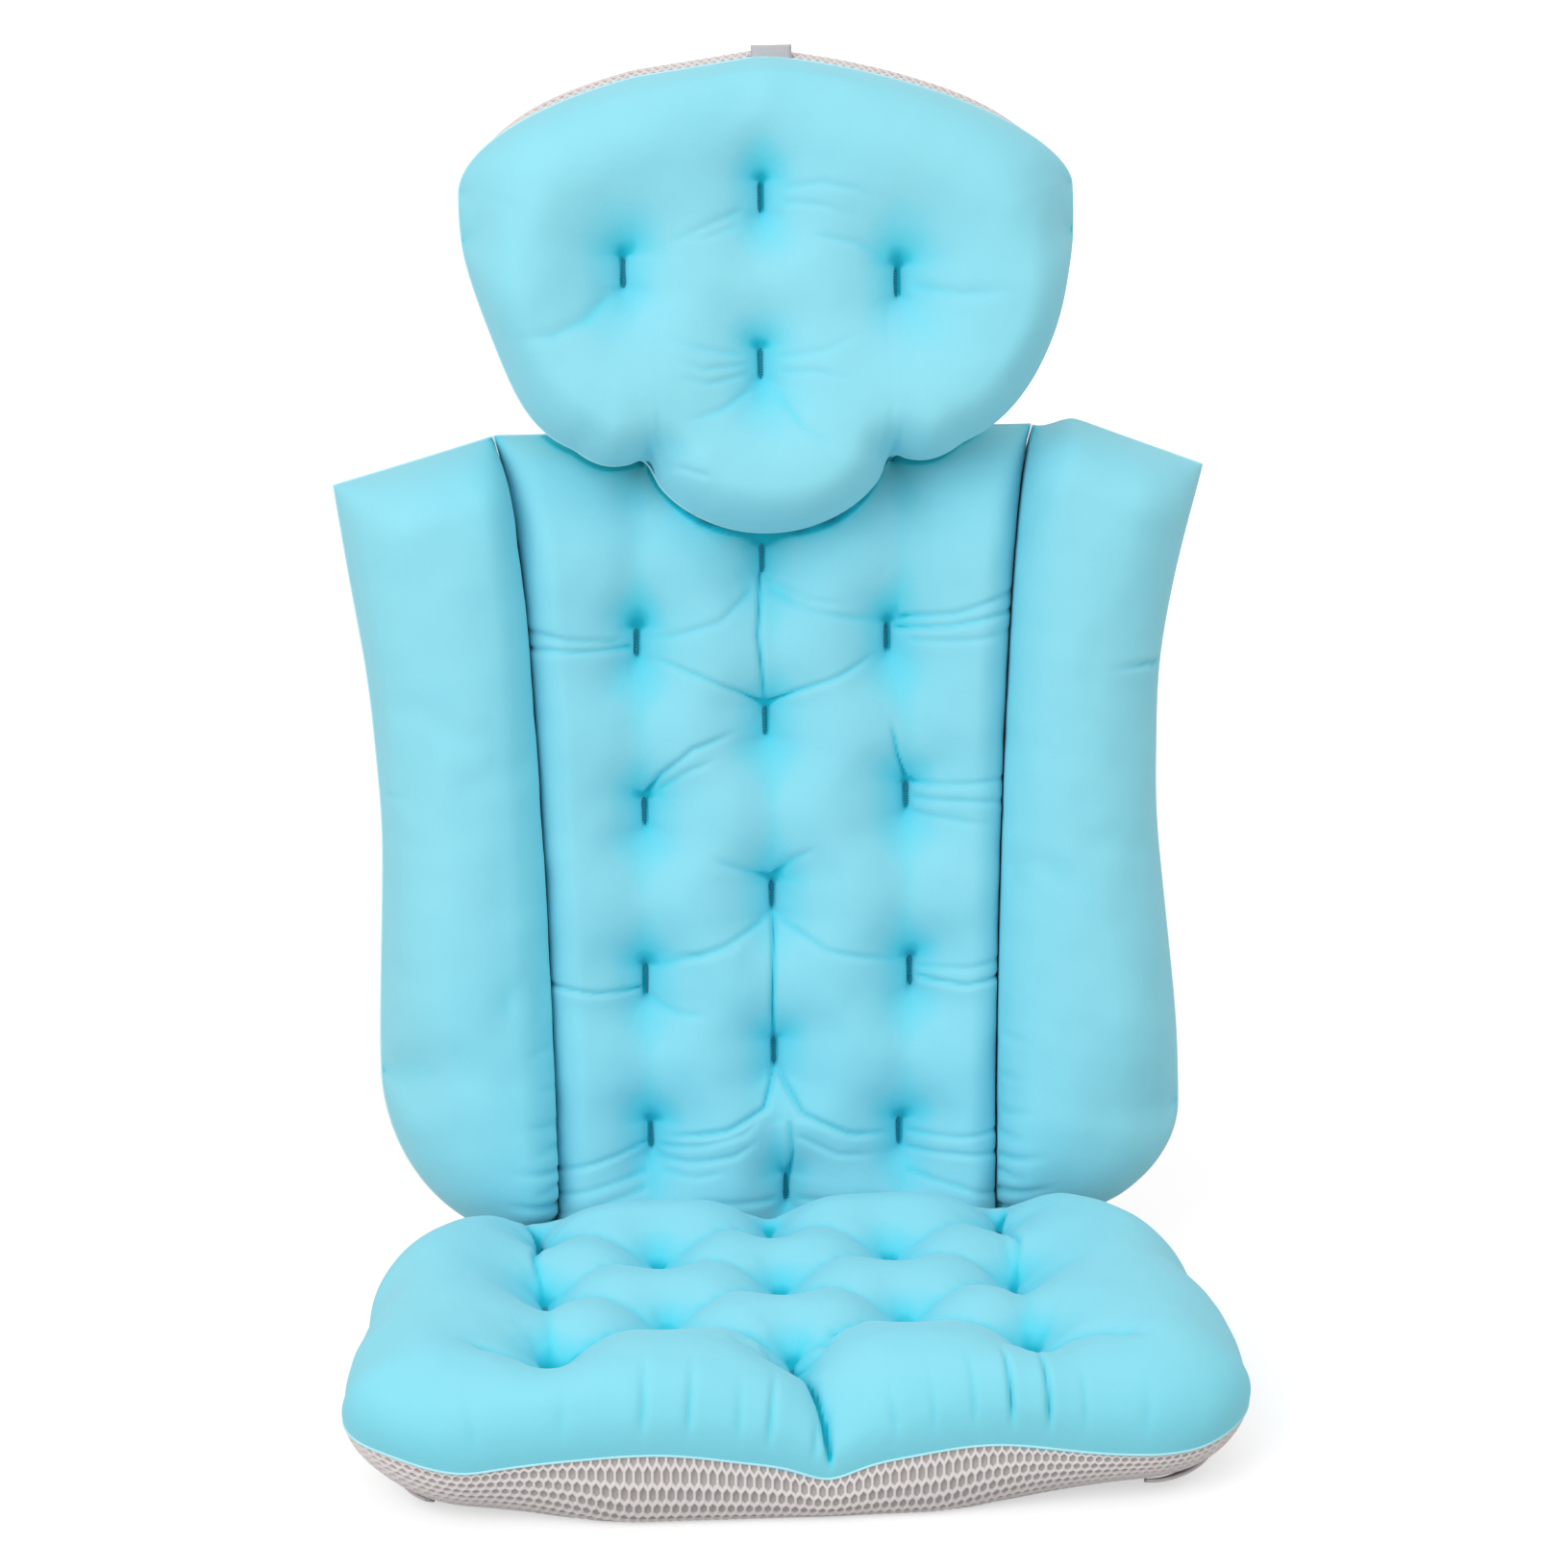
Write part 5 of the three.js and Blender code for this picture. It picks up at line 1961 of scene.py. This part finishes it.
        # Line, depth and width of each fold
        fold = [
            (((-8, 89), (-29, 80), (-46, 73)), 0.9, 1.8),
            (((-12, 82), (-26, 77), (-38, 76)), 0.7, 1.6),
            (((3, 96), (21, 97.5), (34, 94.5), (47, 88)), 0.9, 1.8),
            (((4, 91), (21, 89), (36, 83)), 0.8, 1.6),
            (((16, 78), (34, 74), (48, 66)), 0.8, 1.6),
            (((-60, 58), (-72, 47), (-85, 41), (-108, 39)), 1.4, 3.0),
            (((54, 57), (74, 54), (98, 55)), 1.3, 2.8),
            (((-8, 31), (-30, 35), (-48, 43)), 1.0, 1.5),
            (((-7, 28), (-27, 26.5), (-46, 34)), 1.1, 1.4),
            (((-7, 25), (-25, 21), (-42, 25)), 1.1, 1.4),
            (((-6, 20), (-20, 11), (-38, 6)), 1.1, 1.6),
            (((1, 25), (18, 25), (34, 21)), 0.9, 1.5),
            (((0, 19), (11, 4), (28, -7)), 1.0, 1.8),
            (((0, 30), (20, 33), (40, 42)), 0.8, 1.8),
            (((-24, -15), (-36, -11.6), (-49, -12)), 0.9, 1.5),
        ]
        creases = tuple(Stroke(points, 0.6 * depth, width, 0.5, (0.15, 0.55))
                        for points, depth, width in fold)
        return Head(
            title="head", place=self.neck_place(), riders=Riders(Body.HEAD), seam=14.0, base=self.stand,
            crown=42.0, round=13.0,
            shoulders={"south": (20, 0.5), "north": (36, 0.5), "west": (36, 0.5), "east": (36, 0.5)},
            nodes={"cover": ("head_front_cover", "head_filling"), "mesh": ("head_back_mesh",),
                   "tufts": numbered("head", len(tufts))},
            tufts=tufts, tuft_floor=12.0, tuft_core=13.0, tuft_skirt=36.0, creases=creases, fill=0.85,
            cap=5.0)

    def strip(self, name: str, node: str, place: Place, path: list[Point], width: float, riders: Riders,
              trees: Trees) -> None:
        """Make a strip of spacer mesh along a path of y and z, in a local frame.

        Args:
            name: the piece's name.
            node: the CAD node that it stands for.
            place: the local frame.
            path: corners of the path in millimetres.
            width: width across.
            riders: the bodies that it follows.
            trees: the shared trees.
        """
        line = np.array(path, float)
        length = np.concatenate([[0], np.cumsum(np.hypot(*np.diff(line, axis=0).T))])
        wide, tall = SPACER_CELL
        at = np.linspace(0, length[-1], max(3, round(length[-1] / tall)) + 1)
        y, z = np.interp(at, length, line[:, 0]), np.interp(at, length, line[:, 1])
        columns = round(width / wide) + 1
        shift = wide / 2 * (np.arange(len(at))[:, None] % 2)
        across = np.linspace(-width / 2, width / 2, columns)[None, :] + shift
        grid = np.stack([np.clip(across, -width / 2, width / 2), np.repeat(y[:, None], columns, 1),
                         np.repeat(z[:, None], columns, 1)], axis=-1)
        made = mesh_piece(name, place.points(grid), lattice(columns, len(at)))
        trees.open_cells(made, self.strip_depth)
        settle(made, (node,), riders)

    def strips(self, trees: Trees) -> None:
        """Make the mesh strips of the fold and the neck.

        Args:
            trees: the shared trees.
        """
        foot = np.array(hinge("back_fold"))
        rise = np.array([0, 0, 8 * MM])
        self.strip("fold_mesh_strip", "fold_strip", Place(Matrix.Identity(4)),
                   [(74, 0.6), (118, 0.6), (119.4, 2.0), (119.6, 10.5)], 160.0,
                   Riders(Body.BACK, Body.SEAT, foot - rise, foot + rise * 0.3), trees)
        neck = self.neck_place()
        low, high = neck.points(np.array([[0.0, 0, 0], [0.0, 20, 8]]))
        self.strip("neck_mesh_strip", "neck_strip", neck,
                   [(-6, -1.0), (2, -0.4), (self.stand * 2, self.stand - 2.2),
                    (self.stand * 2 + 12, self.stand - 0.8)], 120.0,
                   Riders(Body.HEAD, Body.BACK, low, high), trees)

    def tab(self, name: str, node: str, path: Array, across: Array, body: Body) -> None:
        """Make a soft-edged piece of folded tape.

        Args:
            name: the piece's name.
            node: the CAD node that it stands for.
            path: the middle line of the tape, in metres.
            across: half its width at each point, as vectors.
            body: the body that it rides on.
        """
        forward = np.gradient(path, axis=0)
        up = np.cross(forward, across)
        up = up / np.linalg.norm(up, axis=1, keepdims=True) * TAPE_HALF_THICKNESS * MM
        turns = np.linspace(0, 2 * math.pi, 20, endpoint=False)
        wide = np.sign(np.cos(turns)) * np.abs(np.cos(turns)) ** 0.3
        thick = np.sign(np.sin(turns)) * np.abs(np.sin(turns)) ** 0.7
        rings = path[:, None] + across[:, None] * wide[None, :, None] + up[:, None] * thick[None, :, None]
        count = len(turns)
        faces = []
        for k in range(len(path) - 1):
            for n in range(count):
                m = (n + 1) % count
                faces.append([k * count + n, (k + 1) * count + n, (k + 1) * count + m, k * count + m])
        faces.append(list(range(count)))
        faces.append([(len(path) - 1) * count + n for n in range(count)][::-1])
        made = mesh_piece(name, rings, faces)
        shade_smooth(made, GREY_TAPE)
        settle(made, (node,), Riders(body))

    def tabs(self) -> None:
        """Make the tape tabs at the head's top and under the seat's front corners."""
        low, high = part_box("head_top_tab")
        rise = Place(self.back_place()).along()
        middle = np.array((low + high) / 2) - rise * 3.8 * MM + np.array([3.5 * MM, 0, 0])
        path = middle + np.linspace(-8, 8, 9)[:, None] * np.array([[MM, 0, 0]])
        across = np.repeat(rise[None] * 4.2 * MM, len(path), 0)
        self.tab("head_tape_tab", "head_top_tab", path, across, Body.HEAD)
        seat = self.seat()
        for side in Side:
            word = side.name.lower()
            ends, sag = ((40, 84), 0.3) if side is Side.LEFT else ((2, 66), 0.9)
            turn = np.radians(np.linspace(*ends, 25))
            out = np.stack([side.value * np.sin(turn), -np.cos(turn)], axis=-1)
            centre = np.array([side.value * (seat.half[0] - seat.corner), seat.corner - seat.half[1]])
            edges = []
            for inset in (12.0, 18.0):
                under = centre + out * (seat.corner - inset)
                level = (seat.seam + seat.seam_shift(under)) * (1 - seat.mesh_depth(under)) - 1.1
                level = level - sag * (1 - np.linspace(-1, 1, len(turn)) ** 4)
                edges.append(np.concatenate([under, np.maximum(level, 1.0)[:, None]], axis=-1) * MM)
            self.tab(f"seat_{word}_tape_tab", f"seat_{word}_tab", (edges[0] + edges[1]) / 2,
                     (edges[0] - edges[1]) / 2, Body.SEAT)

    def wing_seams(self, trees: Trees) -> None:
        """Run the stitches that each wing swings on.

        Args:
            trees: the shared trees.
        """
        for side in Side:
            word = side.name.lower()
            place = Place(self.seam_place(side))
            up = np.linspace(28, 334, 40)
            bow = side.value * seam_flare(up, PANEL_HEIGHT)
            path = place.points(np.stack([bow, up, np.zeros_like(up)], axis=-1))
            made = mesh_piece(f"{word}_wing_stitches", path, [], [[k, k + 1] for k in range(len(up) - 1)])
            trees.stitches.run(made, {"Pitch": 3.4 * MM, "Length": 3.0 * MM, "Radius": 1.6 * MM,
                                      "Material": TACK_THREAD.material()})
            settle(made, (f"{word}_wing_seam",), Riders(Body.BACK))

    def build(self) -> None:
        """Make the pillow."""
        trees = Trees()
        cushions = [self.seat(), self.back(), self.wing(Side.LEFT), self.wing(Side.RIGHT), self.head()]
        for cushion in cushions:
            cushion.lay_out()
        Swelling().run(cushions)
        for cushion in cushions:
            cushion.build(trees)
        self.strips(trees)
        self.tabs()
        self.wing_seams(trees)


# The studio


@dataclass
class Studio:
    """Pale floor, soft light and the camera.

    Attributes:
        target: what camera and lamps face, in metres.
        azimuth: degrees that the camera stands to the side.
        elevation: degrees that it looks down.
        distance: metres from the target.
        lens: focal length in millimetres.
        surround: strength of the even light.
    """

    target: tuple = (0.004, 0.125, 0.2187)
    azimuth: float = -4.5
    elevation: float = 20.0
    distance: float = 2.0
    lens: float = 114.7
    surround: float = 0.72

    def camera(self) -> None:
        """Set the camera at the photograph's angle."""
        turn, lift = math.radians(self.azimuth), math.radians(self.elevation)
        back = Vector((math.sin(turn) * math.cos(lift), -math.cos(turn) * math.cos(lift), math.sin(lift)))
        data = bpy.data.cameras.new("camera")
        data.lens, data.sensor_width = self.lens, 36.0
        data.clip_start, data.clip_end = 0.05, 30.0
        made = bpy.data.objects.new("camera", data)
        made.location = Vector(self.target) + back * self.distance
        made.rotation_mode = "QUATERNION"
        made.rotation_quaternion = (-back).to_track_quat("-Z", "Y")
        bpy.context.scene.collection.objects.link(made)
        bpy.context.scene.camera = made

    def lamp(self, name: str, place: tuple, size: float, power: float) -> None:
        """Hang a soft square lamp that faces the pillow.

        Args:
            name: the lamp's name.
            place: where it hangs, in metres.
            size: its side, in metres.
            power: its power, in watts.
        """
        data = bpy.data.lights.new(name, "AREA")
        data.shape, data.size, data.energy = "SQUARE", size, power
        made = bpy.data.objects.new(name, data)
        made.location = place
        made.rotation_mode = "QUATERNION"
        made.rotation_quaternion = (Vector(self.target) - Vector(place)).to_track_quat("-Z", "Y")
        bpy.context.scene.collection.objects.link(made)

    def floor(self) -> None:
        """Lay a wide pale floor that keeps the shadow."""
        corners = np.array([[-6, -6, -0.2 * MM], [6, -6, -0.2 * MM], [6, 6, -0.2 * MM], [-6, 6, -0.2 * MM]])
        made = mesh_piece("floor", corners, [[0, 1, 2, 3]])
        paint = bpy.data.materials.new("floor_paint")
        paint.use_nodes = True
        bench = Bench(paint.node_tree)
        shader = paint.node_tree.nodes["Principled BSDF"]
        place = bench.add("ShaderNodeTexCoord").outputs["Object"]
        cloud = bench.add("ShaderNodeTexNoise", {"Vector": place, "Scale": 3.0})
        tint = bench.mix(cloud.outputs["Fac"], (0.60, 0.60, 0.60, 1), (0.62, 0.62, 0.62, 1))
        away = bench.add("ShaderNodeVectorMath", {0: place}, operation="LENGTH")
        glow = bench.add("ShaderNodeMapRange", {
            "Value": away.outputs["Value"], "From Min": 0.45, "From Max": 1.6, "To Min": 0.55, "To Max": 1.0})
        seen = bench.add("ShaderNodeLightPath")
        lit = bench.add("ShaderNodeMath", {0: glow.outputs["Result"], 1: seen.outputs["Is Camera Ray"]},
                        operation="MULTIPLY")
        bench.feed(shader, {"Base Color": tint, "Roughness": 0.9, "Specular IOR Level": 0.1,
                            "Emission Color": (1, 1, 1, 1), "Emission Strength": lit.outputs[0]})
        made.data.materials.append(paint)

    def world(self) -> None:
        """Light the studio evenly, with a white surround for the camera."""
        sky = bpy.data.worlds.new("studio")
        bpy.context.scene.world = sky
        sky.use_nodes = True
        bench = Bench(sky.node_tree)
        sky.node_tree.nodes.clear()
        soft = bench.add("ShaderNodeBackground", {"Color": (1, 1, 1, 1), "Strength": self.surround})
        white = bench.add("ShaderNodeBackground", {"Color": (1, 1, 1, 1), "Strength": 1.0})
        rays = bench.add("ShaderNodeLightPath").outputs
        seen = bench.add("ShaderNodeMath", {0: rays["Is Camera Ray"], 1: rays["Is Glossy Ray"]},
                         operation="MAXIMUM")
        clear = bench.add("ShaderNodeMath", {0: seen.outputs[0], 1: rays["Is Transmission Ray"]},
                          operation="MAXIMUM")
        mix = bench.add("ShaderNodeMixShader", {0: clear.outputs[0], 1: soft.outputs[0], 2: white.outputs[0]})
        bench.add("ShaderNodeOutputWorld", {"Surface": mix.outputs[0]})

    def build(self) -> None:
        """Set up the studio."""
        self.camera()
        self.floor()
        self.world()
        self.lamp("key", (-1.4, -1.7, 1.75), 1.6, 31.0)
        self.lamp("fill", (1.3, -1.4, 1.7), 1.8, 4.5)
        self.lamp("top", (0.1, 0.2, 2.3), 1.5, 2.0)
        bpy.context.scene.view_settings.view_transform = "Standard"


def main() -> None:
    """Build the pillow in its studio."""
    logging.basicConfig(level=logging.INFO, format="%(name)s: %(message)s")
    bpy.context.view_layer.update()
    Studio().build()
    Pillow().build()


if __name__ == "__main__":
    main()
